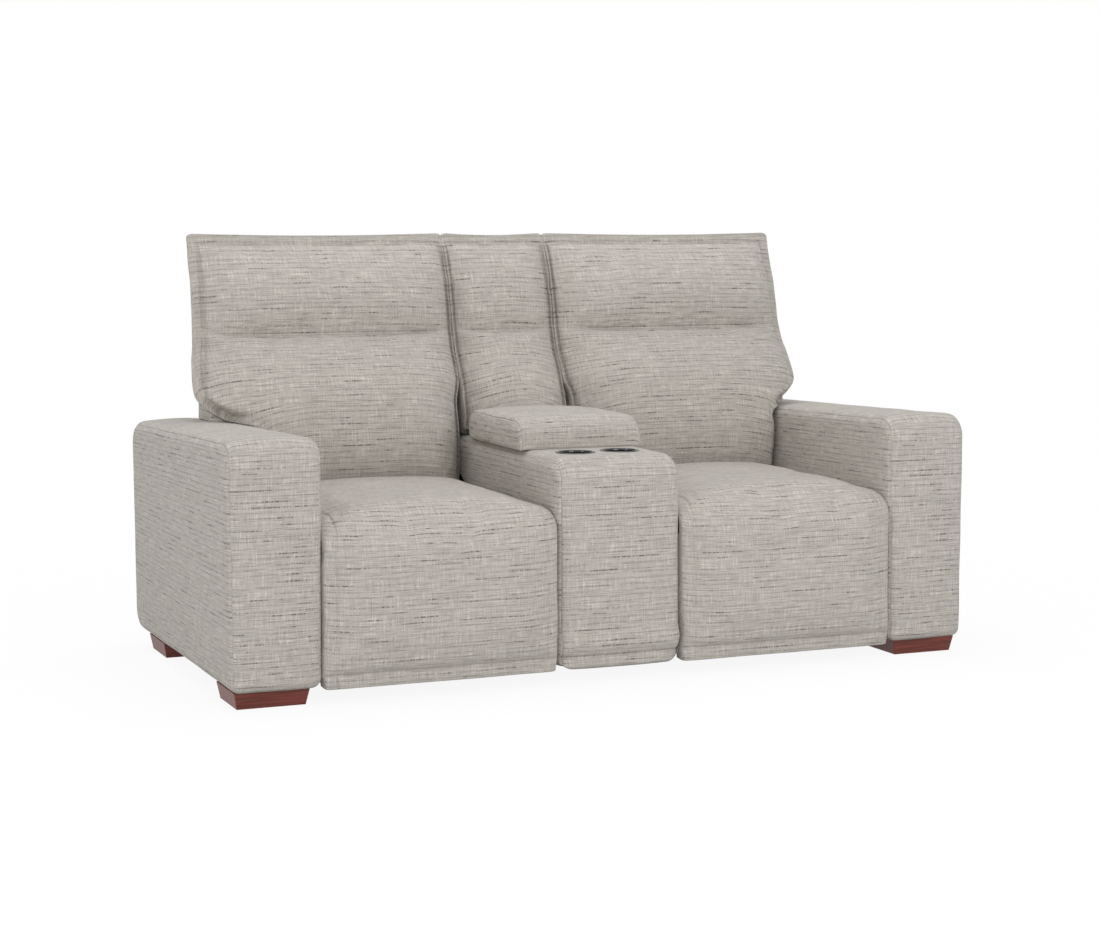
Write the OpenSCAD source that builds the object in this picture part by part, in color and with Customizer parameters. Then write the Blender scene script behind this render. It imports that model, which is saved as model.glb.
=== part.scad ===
// Two seat reclining sofa with a fixed centre console.
// Each seat rides forward on inclined tracks while its back reclines, and a padded footrest swings up
// from the front rail on a parallelogram of cranks and push bars. The console lid lifts over a storage bin.
// Millimetres, X to the right seen from the front, Y to the back, Z up from the floor.

/* [Overall] */
// Width over both arms
overall_w = 2000; // [1900:10:2120]
// Depth of the arms from front to back
arm_d = 1000; // [970:5:1040]
// Height of the backs above the floor
overall_h = 1104; // [1080:1:1130]

/* [Arms and feet] */
// Width of an arm at its top
arm_w = 231.5; // [215:0.5:240]
// Height of the arm tops above the floor
arm_h = 625; // [605:1:626]
// How far each side of an arm draws in towards the bottom
arm_taper = 9; // [4:0.5:12]
// Radius of the arm's front top edge
arm_front_r = 38; // [30:1:50]
// Radius of the arm's rear edges
arm_rear_r = 60; // [45:1:75]
// Radius of the arm's long edges and front corners
arm_edge_r = 16; // [12:1:20]
// Radius of the arm's front bottom edge
arm_hem_r = 22; // [18:1:28]
// Height of the wooden feet
foot_h = 40; // [34:1:46]
// Width of a foot where it stands
foot_w = 168; // [150:1:180]
// Depth of a foot where it stands
foot_d = 149; // [135:1:160]
// How far a foot flares out on each side towards its top
foot_flare = 8; // [4:0.5:12]
// Distance from the arm's outer side to a foot's base
foot_inset_x = 29; // [24:1:31]
// Distance from the arm's front to a front foot's base
foot_inset_y = 30; // [24:1:40]
// Distance from the arm's rear to a rear foot's base
foot_rear_inset = 125; // [100:1:150]

/* [Console] */
// Width of the console
console_w = 335; // [325:1:345]
// Height of the console's top deck
console_h = 555; // [545:1:560]
// Distance from the console's rear to the arms' rear
console_rear_inset = 138; // [120:1:145]
// Clearance under the console and the seats
hem_z = 36; // [34:1:44]
// Radius of the console's front top edge
console_front_r = 52; // [40:1:60]
// Radius of the console's upright edges
console_edge_r = 18; // [10:1:22]
// Thickness of the console's padded walls
console_wall = 24; // [20:1:28]
// Radius of a cup holder's well
cup_r = 41; // [36:0.5:42]
// Width of a cup holder's rim
cup_rim_w = 7; // [5:0.5:9]
// Depth of a cup holder
cup_depth = 72; // [60:1:85]
// Distance between the cup holders' centres
cup_pitch = 122; // [114:1:130]
// Distance of the cup holders behind the console's front
cup_y = 146; // [130:1:155]
// Wall of the moulded plastic parts
moulding_t = 2.5; // [2:0.1:3]
// Depth of the storage bin
bin_depth = 240; // [180:5:280]

/* [Lid] */
// Distance of the lid's front edge behind the console's front
lid_front_y = 256; // [245:1:262]
// Distance from the lid's rear edge to the arms' rear
lid_rear_inset = 360; // [358:1:370]
// Thickness of the lid with its padding
lid_t = 80; // [74:1:84]
// Thickness of the lid board
lid_board_t = 12; // [9:1:15]
// Crown of the lid pad
lid_crown = 7; // [3:0.5:10]

/* [Seats] */
// Clearance at each side of a seat
seat_gap = 2; // [1:0.5:3]
// Height of the seat at its side seams, at the rear
seat_h = 434; // [425:1:440]
// Height of the seat at its side seams, at the front
seat_front_h = 424; // [418:1:430]
// Crown of the seat cushion between its sides
seat_crown = 26; // [18:1:30]
// Distance from the seat cushion's rear edge to the arms' rear
seat_rear_inset = 366; // [365:1:375]
// How far the footrest pad stands proud of the arms
seat_proud = 8; // [4:0.5:12]
// Height of the seat frame's top
deck_z = 372; // [368:1:374]
// Height of the seat frame's rails
rail_h = 36; // [30:1:40]
// Width of the seat frame's rails
rail_w = 26; // [22:1:30]

/* [Footrest] */
// Distance of the footrest hinge behind the front
knee_y = 24; // [22:0.5:26]
// Height of the footrest hinge
knee_z = 380; // [377:0.5:381]
// Radius of the footrest hinge pin
knee_pin_r = 4; // [3.5:0.1:4.5]
// Thickness of the footrest board
board_t = 12; // [10:1:14]
// Depth of the footrest pad in front of its board
pad_t = 44; // [42:0.5:46]

/* [Linkage] */
// Thickness of the flat links
link_t = 4; // [3:0.25:4.5]
// Width of the flat links
link_w = 24; // [20:1:26]
// Radius of the link pins
link_pin_r = 5; // [4:0.25:6]
// Height of the push bar's pin below the footrest hinge
bar_pin_h = 180; // [165:1:190]
// Distance of the push bar's pin behind the footrest hinge
arm_back = 48; // [46:1:54]
// Distance of the crank's pivot behind the footrest hinge
crank_back = 250; // [235:1:265]
// Height of the crank's pivot below the footrest hinge
crank_pin_h = 90; // [80:1:95]
// Radius of the torque tube
tube_r = 9; // [8:0.5:10]

/* [Track] */
// Forward travel of a seat along its tracks
slide_travel = 80; // [50:1:82]
// Slope of the tracks
track_deg = 15; // [12:0.5:16]
// Radius of a track roller
roller_r = 12; // [10:0.5:13]
// Distance between the two rollers of a side
roller_pitch = 220; // [200:1:230]
// Thickness of the steel side plates
plate_t = 4; // [3:0.25:4.5]

/* [Backs] */
// Distance from the recline pivot to the arms' rear
pivot_rear_inset = 180; // [176:1:185]
// Height of the recline pivot
pivot_z = 420; // [417:1:424]
// Width of a back's flat sewn edge
flange_w = 27; // [22:1:32]
// Thickness of a back's flat sewn edge
flange_t = 12; // [10:0.5:14]
// How far a back's wing reaches over the arm
wing_reach = 123; // [105:1:128]
// Clearance between neighbouring backs
back_gap = 1; // [0.6:0.1:1.5]
// Depth of the cushion's crown at the lumbar
lumbar_crown = 106; // [96:1:112]
// Depth of the back behind its flange at the top
shell_top_d = 72; // [60:1:80]

/* [Hidden] */

// Clearances and overruns
seat_clear = 0.3;
soft_clear = 0.5;
pin_clear = 0.05;
over = 1;
washer_t = 0.4;

// Places that follow from the sizes
shift_y = -(arm_d - seat_proud) / 2;
console_d = arm_d - console_rear_inset;
lid_rear_y = arm_d - lid_rear_inset;
seat_rear_y = arm_d - seat_rear_inset;
pivot_y = arm_d - pivot_rear_inset;
bay_in = console_w / 2;
bay_out = overall_w / 2 - arm_w;
bay_w = bay_out - bay_in;
bay_x = (bay_in + bay_out) / 2;
arm_z = foot_h + seat_clear;
// Planes of the steel side plates and of the links next to them, from the middle of a bay
plate_inset = 30.5;
plate_x = bay_w / 2 - plate_inset;
crank_x = plate_x - washer_t - link_t;
track_dir = [-cos(track_deg), sin(track_deg)];

module place() {
  translate([0, shift_y, 0]) children();
}

// The right hand piece as drawn, or its mirror image for the left
module hand(side) {
  if (side < 0) mirror([1, 0, 0]) children();
  else children();
}

// Children are drawn at both sides of the seat bay, facing its middle
module both_sides() {
  for (flip = [0, 1]) {
    translate([bay_x, 0, 0]) mirror([flip, 0, 0]) children();
  }
}

// A plate whose outline is given in Y and Z, from x to x plus t
module plate_yz(x, t) {
  translate([x, 0, 0]) rotate([90, 0, 90]) linear_extrude(height = t) children();
}

// A rod along X
module rod_x(x, length, r, sides = 32) {
  translate([x, 0, 0]) rotate([0, 90, 0]) cylinder(h = length, r = r, $fn = sides);
}

// A box given by its two corners
module box(low, high) {
  translate(low) cube(high - low);
}

// A link of the given width between two points in Y and Z, with round ends and no holes
module link_outline(a, b, w) {
  run = norm(b - a);
  turn = atan2(b[1] - a[1], b[0] - a[0]);
  translate(a) rotate(turn) union() {
    translate([0, -w / 2]) square([run, w]);
    circle(d = w, $fn = 40);
    translate([run, 0]) circle(d = w, $fn = 40);
  }
}

// A value read off a table of [place, value] pairs, with straight runs between them
function along(table, p) = lookup(p, table);

// A smooth quarter round from 0 at t = 0 to 1 at t = 1
function roll(t) = let (c = min(max(t, 0), 1)) sqrt(1 - (1 - c) * (1 - c));

// A closed skin through a stack of rings, each with as many points, capped at both ends
module ring_skin(rings) {
  n = len(rings[0]);
  rows = len(rings);
  polyhedron(
    points = [for (ring = rings) for (p = ring) p],
    faces = concat(
      [[for (i = [n - 1 : -1 : 0]) i]],
      [for (r = [0 : rows - 2]) for (i = [0 : n - 1]) let (
        a = r * n + i, b = r * n + (i + 1) % n, c = b + n, d = a + n
      ) each [[a, b, c], [a, c, d]]],
      [[for (i = [0 : n - 1]) (rows - 1) * n + i]]
    ),
    convexity = 4
  );
}

// Arms: upholstered boxes, narrower at the bottom, with a soft front top edge
module arm_corner(x, y, z, r) {
  translate([x, y, z]) rotate([0, 90, 0]) rotate_extrude($fn = 32) intersection() {
    translate([r - arm_edge_r, 0]) circle(r = arm_edge_r, $fn = 16);
    translate([0, -r]) square([r, 2 * r]);
  }
}

module arm() {
  outer = overall_w / 2 - arm_edge_r;
  inner = bay_out + arm_edge_r;
  hull() {
    for (x = [outer, inner]) {
      arm_corner(x, arm_front_r, arm_h - arm_front_r, arm_front_r);
      arm_corner(x, arm_d - arm_rear_r, arm_h - arm_rear_r, arm_rear_r);
    }
    for (x = [outer - arm_taper, inner + arm_taper]) {
      arm_corner(x, arm_hem_r, arm_z + arm_hem_r, arm_hem_r);
      arm_corner(x, arm_d - arm_rear_r, arm_z + arm_rear_r, arm_rear_r);
    }
  }
}

module left_arm() {
  color([0.75, 0.72, 0.69]) place() hand(-1) arm();
}

module right_arm() {
  color([0.75, 0.72, 0.69]) place() hand(1) arm();
}

// Feet: four solid wooden blocks that flare out towards the top
function foot_corners(half_w, half_d, z) = [
  [-half_w, -half_d, z], [half_w, -half_d, z], [half_w, half_d, z], [-half_w, half_d, z]
];

module foot() {
  ring_skin([
    foot_corners(foot_w / 2, foot_d / 2, 0),
    foot_corners(foot_w / 2 + foot_flare, foot_d / 2 + foot_flare, foot_h)
  ]);
}

module block_feet() {
  foot_x = overall_w / 2 - foot_inset_x - foot_w / 2;
  color([0.36, 0.13, 0.10]) place() for (side = [-1, 1]) {
    translate([side * foot_x, foot_inset_y + foot_d / 2, 0]) foot();
    translate([side * foot_x, arm_d - foot_rear_inset - foot_d / 2, 0]) foot();
  }
}

// Support glides: short round plastic legs under the console, out of sight
glide_r = 24;
glide_flange_r = 30;
glide_flange_t = 4;
glide_front_y = 250;
glide_rear_margin = 102;
glide_rear_y = console_d - glide_rear_margin;
glide_x = console_w / 2 - console_wall - glide_flange_r - soft_clear;

module support_glides() {
  color([0.08, 0.08, 0.08]) place() for (x = [-glide_x, glide_x], y = [glide_front_y, glide_rear_y]) {
    translate([x, y, 0]) union() {
      cylinder(h = hem_z, r = glide_r, $fn = 36);
      translate([0, 0, hem_z - glide_flange_t]) cylinder(h = glide_flange_t, r = glide_flange_r, $fn = 36);
    }
  }
}

// Console: a padded box with a rounded front top edge, open inside, with holes for the bin and cup holders
cup_x = cup_pitch / 2;
bin_front_margin = 38;
bin_rear_margin = 76;
bin_side_margin = 54;
bin_front_y = lid_front_y + bin_front_margin;
bin_rear_y = lid_rear_y - bin_rear_margin;
bin_half_w = console_w / 2 - bin_side_margin;
bin_flange_w = 12;
console_floor_t = 18;
lid_axis_z = console_h + lid_t / 2 + seat_clear;
lid_axis_y = lid_rear_y - lid_t / 2;

module console_profile(inset) {
  r = console_front_r - inset;
  translate([inset, hem_z]) difference() {
    square([console_d - 2 * inset, console_h - inset - hem_z]);
    translate([0, console_h - inset - hem_z - r]) difference() {
      translate([-over, 0]) square([r + over, r + over]);
      translate([r, 0]) circle(r = r, $fn = 64);
    }
  }
}

module console_plan() {
  translate([-console_w / 2 + console_edge_r, console_edge_r]) offset(r = console_edge_r, $fn = 64)
    square([console_w - 2 * console_edge_r, console_d - 2 * console_edge_r]);
}

module console_shell() {
  half = console_w / 2;
  inner_half = half - console_wall;
  color([0.74, 0.71, 0.68]) place() difference() {
    intersection() {
      plate_yz(-half, console_w) console_profile(0);
      linear_extrude(height = console_h + over) console_plan();
    }
    difference() {
      translate([0, 0, -over]) plate_yz(-inner_half, 2 * inner_half) console_profile(console_wall);
      box(
        [-half, console_wall, hem_z - 2 * over],
        [half, console_d - console_wall, hem_z + console_floor_t]
      );
    }
    for (side = [-1, 1]) {
      translate([side * cup_x, cup_y, console_h - console_wall - over])
        cylinder(h = console_wall + 2 * over, r = cup_r + moulding_t + seat_clear, $fn = 48);
    }
    box(
      [-bin_half_w - seat_clear, bin_front_y - seat_clear, console_h - console_wall - over],
      [bin_half_w + seat_clear, bin_rear_y + seat_clear, console_h + over]
    );
    box(
      [-bin_half_w - bin_flange_w - seat_clear, bin_front_y - bin_flange_w - seat_clear, console_h - moulding_t],
      [bin_half_w + bin_flange_w + seat_clear, bin_rear_y + bin_flange_w + seat_clear, console_h + over]
    );
  }
}

// Storage bin: a moulded liner that hangs in the console by its flange
module storage_bin() {
  top = console_h;
  color([0.10, 0.10, 0.10]) place() difference() {
    union() {
      box([-bin_half_w, bin_front_y, top - bin_depth], [bin_half_w, bin_rear_y, top]);
      box(
        [-bin_half_w - bin_flange_w, bin_front_y - bin_flange_w, top - moulding_t],
        [bin_half_w + bin_flange_w, bin_rear_y + bin_flange_w, top]
      );
    }
    box(
      [-bin_half_w + moulding_t, bin_front_y + moulding_t, top - bin_depth + moulding_t],
      [bin_half_w - moulding_t, bin_rear_y - moulding_t, top + over]
    );
  }
}

// Cup holders: glossy moulded wells with a raised rim
rim_h = 3;
module cup_holder(side) {
  r = cup_r;
  t = moulding_t;
  color([0.05, 0.05, 0.05]) place() translate([side * cup_x, cup_y, console_h]) rotate_extrude($fn = 72)
    difference() {
      union() {
        translate([0, -cup_depth]) square([r + t, cup_depth]);
        square([r + t + cup_rim_w - rim_h, rim_h]);
        intersection() {
          translate([r + t + cup_rim_w - rim_h, 0]) circle(r = rim_h, $fn = 32);
          square([r + t + cup_rim_w, rim_h]);
        }
      }
      translate([0, -cup_depth + t]) square([r, cup_depth + rim_h]);
    }
}

module left_cup_holder() {
  cup_holder(-1);
}

module right_cup_holder() {
  cup_holder(1);
}

// Lid: a padded board on two steel arms that turn on pins beside the bin's rear edge
lid_half_w = console_w / 2 - soft_clear;
lid_board_inset = 3;
lid_board_top = console_h + seat_clear + lid_board_t;
lid_arm_t = 5;
lid_arm_w = 18;
lid_pin_r = 4;
bracket_t = 4;
bracket_margin = 8;
lid_arm_x = bin_half_w + bin_flange_w + bracket_margin;
slot_front_y = lid_axis_y - lid_arm_w / 2 - soft_clear;
slot_top_z = lid_axis_z + lid_arm_w / 2 + soft_clear;
lid_foot_l = 40;
lid_foot_half = 11;
lid_foot_t = 3;

module lid_slab(z0, z1, half) {
  plate_yz(-half, 2 * half) intersection() {
    union() {
      translate([lid_front_y, console_h + seat_clear]) square([lid_axis_y - lid_front_y, lid_t]);
      translate([lid_axis_y, lid_axis_z]) circle(r = lid_t / 2, $fn = 64);
    }
    translate([lid_front_y - over, z0]) square([lid_rear_y - lid_front_y + 2 * over, z1 - z0]);
  }
}

// The lid's arms and brackets share a slot on each side of the lid's rear
module arm_slots() {
  half = lid_arm_t / 2 + washer_t + bracket_t + seat_clear;
  for (side = [-1, 1]) {
    translate([side * lid_arm_x, 0, 0])
      box([-half, slot_front_y, console_h - over], [half, lid_rear_y + over, slot_top_z]);
  }
}

module lid_board() {
  half = lid_half_w - lid_board_inset;
  color([0.62, 0.50, 0.36]) place() difference() {
    intersection() {
      lid_slab(console_h + seat_clear, lid_board_top, half);
      box(
        [-half - over, lid_front_y + lid_board_inset, console_h],
        [half + over, lid_rear_y, lid_board_top + over]
      );
    }
    arm_slots();
  }
}

// Rows and columns of the pads' grids
pad_cols = 14;
lid_row_shares = [0, 0.03, 0.09, 0.2, 0.36, 0.5, 0.64, 0.8, 0.91, 0.97, 1];
lid_round = 24;
lid_side_share = 0.5;

module lid_pad() {
  low = lid_board_top + seat_clear;
  high = console_h + seat_clear + lid_t - lid_crown;
  rings = [for (s = lid_row_shares) let (
    run = s * (lid_rear_y - lid_front_y),
    front = roll(run / lid_round),
    lift = high - lid_round * (1 - front)
  ) concat(
    [for (i = [0 : pad_cols]) let (
      x = lid_half_w * (2 * i / pad_cols - 1),
      e = roll((lid_half_w - abs(x)) / lid_round),
      swell = lid_crown * e * front * (1 - pow(2 * s - 1, 4))
    ) [x, lid_front_y + run, max(low + over, lift - lid_side_share * lid_round * (1 - e) + swell)]],
    [[lid_half_w, lid_front_y + run, low], [-lid_half_w, lid_front_y + run, low]]
  )];
  color([0.76, 0.74, 0.71]) place() difference() {
    intersection() {
      ring_skin(rings);
      lid_slab(low - over, low + lid_t, lid_half_w + over);
    }
    arm_slots();
    for (side = [-1, 1]) {
      translate([side * lid_arm_x, 0, 0]) box(
        [-lid_foot_half - seat_clear, slot_front_y - lid_foot_l - seat_clear, low - over],
        [lid_foot_half + seat_clear, slot_front_y + over, slot_top_z]
      );
    }
  }
}

module lid_pivot_arms() {
  axis = [lid_axis_y, lid_axis_z];
  toe = [slot_front_y - lid_foot_l + lid_arm_w / 2, lid_board_top + lid_arm_w / 2];
  color([0.35, 0.35, 0.37]) place() for (side = [-1, 1]) {
    translate([side * lid_arm_x, 0, 0]) union() {
      plate_yz(-lid_arm_t / 2, lid_arm_t) difference() {
        link_outline(axis, toe, lid_arm_w);
        translate(axis) circle(r = lid_pin_r + pin_clear, $fn = 32);
      }
      box(
        [-lid_foot_half, slot_front_y - lid_foot_l, lid_board_top],
        [lid_foot_half, slot_front_y, lid_board_top + lid_foot_t]
      );
    }
  }
}

module lid_brackets() {
  axis = [lid_axis_y, lid_axis_z];
  color([0.35, 0.35, 0.37]) place() for (side = [-1, 1]) {
    translate([side * lid_arm_x, 0, 0]) union() {
      for (flip = [0, 1]) {
        mirror([flip, 0, 0]) plate_yz(lid_arm_t / 2 + washer_t, bracket_t) union() {
          translate(axis) circle(d = lid_arm_w, $fn = 40);
          translate([lid_axis_y - lid_arm_w / 2, console_h]) square([lid_arm_w, lid_axis_z - console_h]);
        }
      }
      translate([0, lid_axis_y, lid_axis_z])
        rod_x(-lid_arm_t / 2 - bracket_t, lid_arm_t + 2 * bracket_t, lid_pin_r);
    }
  }
}

// Backs: the line of the flat sewn edge, as shares of the height and of the lean
back_low_z = 370;
back_low_inset = 300;
back_low_y = arm_d - back_low_inset;
back_lean = 182;
back_rise = overall_h - back_low_z;
spine_shares = [
  [0, 0], [0.26, 0], [0.353, 0.09], [0.415, 0.17], [0.467, 0.275], [0.572, 0.52],
  [0.681, 0.632], [0.817, 0.753], [0.906, 0.89], [1, 1]
];
// Heights of the rows up the cushion
back_row_shares = [
  0, 0.012, 0.03, 0.06, 0.1, 0.18, 0.26, 0.33, 0.353, 0.357, 0.375, 0.4, 0.415, 0.436, 0.467, 0.49,
  0.54, 0.585, 0.615, 0.632, 0.64, 0.648, 0.67, 0.72, 0.79, 0.817, 0.86, 0.91, 0.945, 0.958, 0.965, 1
];
// Depth of the crown up the cushion, with the sewn crease between the lumbar and the head cushion
crown_shares = [
  [0, 0.16], [0.012, 0.28], [0.03, 0.42], [0.06, 0.53], [0.1, 0.6], [0.18, 0.8], [0.26, 0.83],
  [0.353, 0.93], [0.436, 1], [0.49, 0.99], [0.54, 0.96], [0.585, 0.88], [0.615, 0.78], [0.632, 0.66],
  [0.64, 0.6], [0.648, 0.66], [0.67, 0.72], [0.72, 0.74], [0.79, 0.68], [0.86, 0.55], [0.91, 0.4],
  [0.945, 0.24], [0.958, 0.12], [0.965, 0], [1, 0]
];
// Reach of the wing over the arm, up the cushion
wing_shares = [
  [0, 0], [0.353, 0], [0.357, 0.5], [0.375, 0.8], [0.4, 0.93], [0.436, 1], [0.54, 0.93], [0.585, 0.89],
  [0.681, 0.87], [0.817, 0.89], [0.906, 0.94], [0.965, 0.88], [1, 0.88]
];
// Width of the rounded side of the cushion, up the cushion
roll_w = 92;
// Swell of the whole cushion, its flat sewn edge included
edge_dome = 3;
roll_shares = [[0, 0.4], [0.33, 0.4], [0.36, 0.9], [0.45, 1], [1, 1]];
back_cols = 16;
col_shares = [for (i = [0 : back_cols]) let (t = i / back_cols) (1 - cos(180 * t)) / 2];

function spine_y(s) = back_low_y + back_lean * along(spine_shares, s);

// One ring of a back cushion, from its inner edge to its outer edge and back
function back_ring(s, x_in, x_out, flange) = let (
  z = back_low_z + s * back_rise,
  y = spine_y(s),
  w = x_out - x_in,
  depth = lumbar_crown * along(crown_shares, s),
  side = roll_w * along(roll_shares, s)
) concat(
  [for (c = col_shares) let (
    x = x_in + c * w,
    edge = min(x - x_in, x_out - x) - flange,
    d = depth * roll(edge / side) + edge_dome * sin(180 * c)
  ) [x, y - d, z]],
  [[x_out, y + flange_t, z], [x_in, y + flange_t, z]]
);

function seat_back_ring(s) = let (
  wing = along(wing_shares, s),
  x_in = bay_in + seat_gap - wing * seat_gap - wing * (bay_in - centre_half - back_gap),
  x_out = bay_out - seat_gap + wing * wing_reach
) back_ring(s, x_in, x_out, flange_w * min(1, wing * 2));

module back_cushion(side) {
  color([0.76, 0.73, 0.70]) place() hand(side)
    ring_skin([for (s = back_row_shares) seat_back_ring(s)]);
}

module left_back_cushion() {
  back_cushion(-1);
}

module right_back_cushion() {
  back_cushion(1);
}

// The centre back is fixed and stands on the console
centre_half = 152.4;
centre_start_share = 0.263;
centre_rows = [for (s = back_row_shares) if (s > centre_start_share) s];

module centre_back_cushion() {
  color([0.76, 0.73, 0.70]) place() ring_skin(concat(
    [centre_ring(centre_start_share)],
    [for (s = centre_rows) centre_ring(s)]
  ));
}

centre_crown_share = 0.62;
function centre_ring(s) = let (
  z = back_low_z + s * back_rise,
  y = spine_y(s),
  depth = lumbar_crown * centre_crown_share * along(crown_shares, s),
  side = roll_w * centre_crown_share
) concat(
  [for (c = col_shares) let (
    x = centre_half * (2 * c - 1),
    edge = centre_half - abs(x) - flange_w,
    d = depth * roll(edge / side) + edge_dome * sin(180 * c)
  ) [x, y - d, z]],
  [[centre_half, y + flange_t, z], [-centre_half, y + flange_t, z]]
);

// Back shells: the padded outside back, its sides set in behind the sewn edge
shell_inset = 40;
shell_gap_y = flange_t + soft_clear;
shell_top_drop = 14;
shell_waist_inset = 132;
shell_waist_z = 650;
shell_waist = [arm_d - shell_waist_inset, shell_waist_z];
shell_hem_y = arm_d - console_rear_inset;
shell_hem_z = 150;
shell_wing_inset = 172;
shell_wing_y = arm_d - shell_wing_inset;
shell_wing_rise = 22;
shell_wall = 16;
shell_step_rise = 14;
shell_step_z = back_low_z + shell_step_rise;

// The front line of a shell, just behind the cushion, from a low share upwards
function shell_front(low, high = 1) = [for (p = spine_shares) if (p[0] > low && p[0] < high) behind(p[0])];
function behind(s) = [spine_y(s) + shell_gap_y, back_low_z + s * back_rise];
shell_top_share = 1 - shell_top_drop / back_rise;
shell_top_rear = [spine_y(1) + shell_top_d, overall_h - shell_top_drop];
wing_low_share = 0.375;
wing_low_z = back_low_z + wing_low_share * back_rise;

// A point on the rear line, given by its height
function shell_rear(z) = shell_waist
  + (z - shell_waist[1]) / (shell_top_rear[1] - shell_waist[1]) * (shell_top_rear - shell_waist);

module shell_wide_outline() {
  polygon(concat(
    [behind(wing_low_share)],
    shell_front(wing_low_share),
    [behind(shell_top_share), shell_top_rear, shell_rear(wing_low_z + shell_wing_rise), [shell_wing_y, wing_low_z]]
  ));
}

// The lower part stops at this share, inside the wide part
shell_join_share = 0.55;
shell_join_z = back_low_z + shell_join_share * back_rise;

module shell_lower_outline() {
  polygon(concat(
    [[back_low_y + shell_gap_y, shell_step_z]],
    shell_front(0, shell_join_share),
    [
      shell_rear(shell_join_z), shell_waist, [shell_hem_y, shell_hem_z],
      [shell_hem_y - shell_wall, shell_hem_z], [shell_hem_y - shell_wall, shell_step_z]
    ]
  ));
}

hollow_top_share = 0.93;
shell_ledge = 4;

module shell_hollow_outline() {
  top = behind(hollow_top_share);
  polygon(concat(
    [[back_low_y + shell_gap_y - over, shell_step_z - over]],
    [for (p = shell_front(0, hollow_top_share)) p - [over, 0]],
    [
      top - [over, 0], top + [shell_top_d - shell_gap_y - shell_wall, 0],
      shell_waist - [shell_wall, 0], [shell_hem_y - shell_wall - shell_ledge, shell_step_z - over]
    ]
  ));
}

module back_shell(side) {
  narrow = bay_w / 2 - seat_gap - soft_clear;
  wide_in = centre_half + back_gap;
  wide_out = bay_out + wing_reach - shell_inset;
  hollow_half = narrow - shell_wall;
  color([0.70, 0.67, 0.64]) place() hand(side) difference() {
    union() {
      plate_yz(bay_x - narrow, 2 * narrow) shell_lower_outline();
      plate_yz(wide_in, wide_out - wide_in) shell_wide_outline();
    }
    plate_yz(bay_x - hollow_half, 2 * hollow_half) shell_hollow_outline();
  }
}

module left_back_shell() {
  back_shell(-1);
}

module right_back_shell() {
  back_shell(1);
}

module centre_back_shell() {
  color([0.70, 0.67, 0.64]) place()
    plate_yz(-centre_half, 2 * centre_half) polygon(concat(
      [[behind(centre_start_share)[0], console_h + seat_clear]],
      shell_front(centre_start_share),
      [behind(shell_top_share), shell_top_rear, shell_waist, [console_d, console_h + seat_clear]]
    ));
}

// Back frames: welded square tube behind the cushion, with straps across its front
frame_tube = 20;
frame_half = crank_x;
strap_t = 2;
frame_shares = [0.1, 0.26, 0.353, 0.415, 0.467, 0.572, 0.681, 0.817, 0.9];
cross_shares = [0.1, 0.353, 0.681, 0.87];

function frame_front(s) = behind(s) + [strap_t, 0];

module frame_rail_outline() {
  polygon(concat(
    [for (s = frame_shares) frame_front(s)],
    [for (i = [len(frame_shares) - 1 : -1 : 0]) frame_front(frame_shares[i]) + [frame_tube, 0]]
  ));
}

module back_frame(side) {
  color([0.20, 0.20, 0.21]) place() hand(side) translate([bay_x, 0, 0]) union() {
    for (x = [-frame_half, frame_half - frame_tube]) {
      plate_yz(x, frame_tube) frame_rail_outline();
    }
    for (s = cross_shares) {
      high = frame_front(s + frame_tube / back_rise);
      box(
        [-frame_half + frame_tube - over, high[0] + over, high[1] - frame_tube],
        [frame_half - frame_tube + over, high[0] + frame_tube - over, high[1]]
      );
    }
  }
}

module left_back_frame() {
  back_frame(-1);
}

module right_back_frame() {
  back_frame(1);
}

// Webbing: elastic straps across the back frame
back_strap_h = 36;
back_strap_shares = [0.18, 0.27, 0.417, 0.49, 0.6, 0.74];

module back_webbing(side) {
  color([0.86, 0.84, 0.80]) place() hand(side) translate([bay_x, 0, 0]) for (s = back_strap_shares) {
    low = frame_front(s);
    high = frame_front(s + back_strap_h / back_rise);
    plate_yz(-frame_half, 2 * frame_half)
      polygon([low - [strap_t, 0], low, high, high - [strap_t, 0]]);
  }
}

module left_back_webbing() {
  back_webbing(-1);
}

module right_back_webbing() {
  back_webbing(1);
}

// Side plates: the steel carriage sides that carry the seat, the back pivot, the cranks and the rollers
roller_front = [260, 200];
roller_rear = roller_front - roller_pitch * track_dir;
crank_pivot = [knee_y + crank_back, knee_z - crank_pin_h];
rest_pin = [knee_y + arm_back, knee_z - bar_pin_h];
elbow = rest_pin + [crank_back, -crank_pin_h];
pivot_pin_r = 6;
plate_edge = 22;
plate_web_run = 90;
plate_arm_w = 40;
bend_back = 68;
bend_clear = 10;
bend = [pivot_y - bend_back, back_low_z - bend_clear - plate_arm_w / 2];

module side_plate_outline() {
  low_z = deck_z - rail_h;
  front = roller_front - [plate_edge, 0];
  rear = roller_rear + [plate_edge, 0];
  union() {
    translate([frame_front_y, low_z]) square([frame_rear_y - frame_front_y, rail_h]);
    link_outline(roller_front, roller_rear, 2 * plate_edge);
    polygon([
      front, rear, [rear[0] + plate_web_run, low_z + over], [front[0] - plate_web_run, low_z + over]
    ]);
    link_outline([frame_rear_y - plate_arm_w, bend[1]], bend, plate_arm_w);
    link_outline(bend, [pivot_y, pivot_z], plate_arm_w);
  }
}

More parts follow.
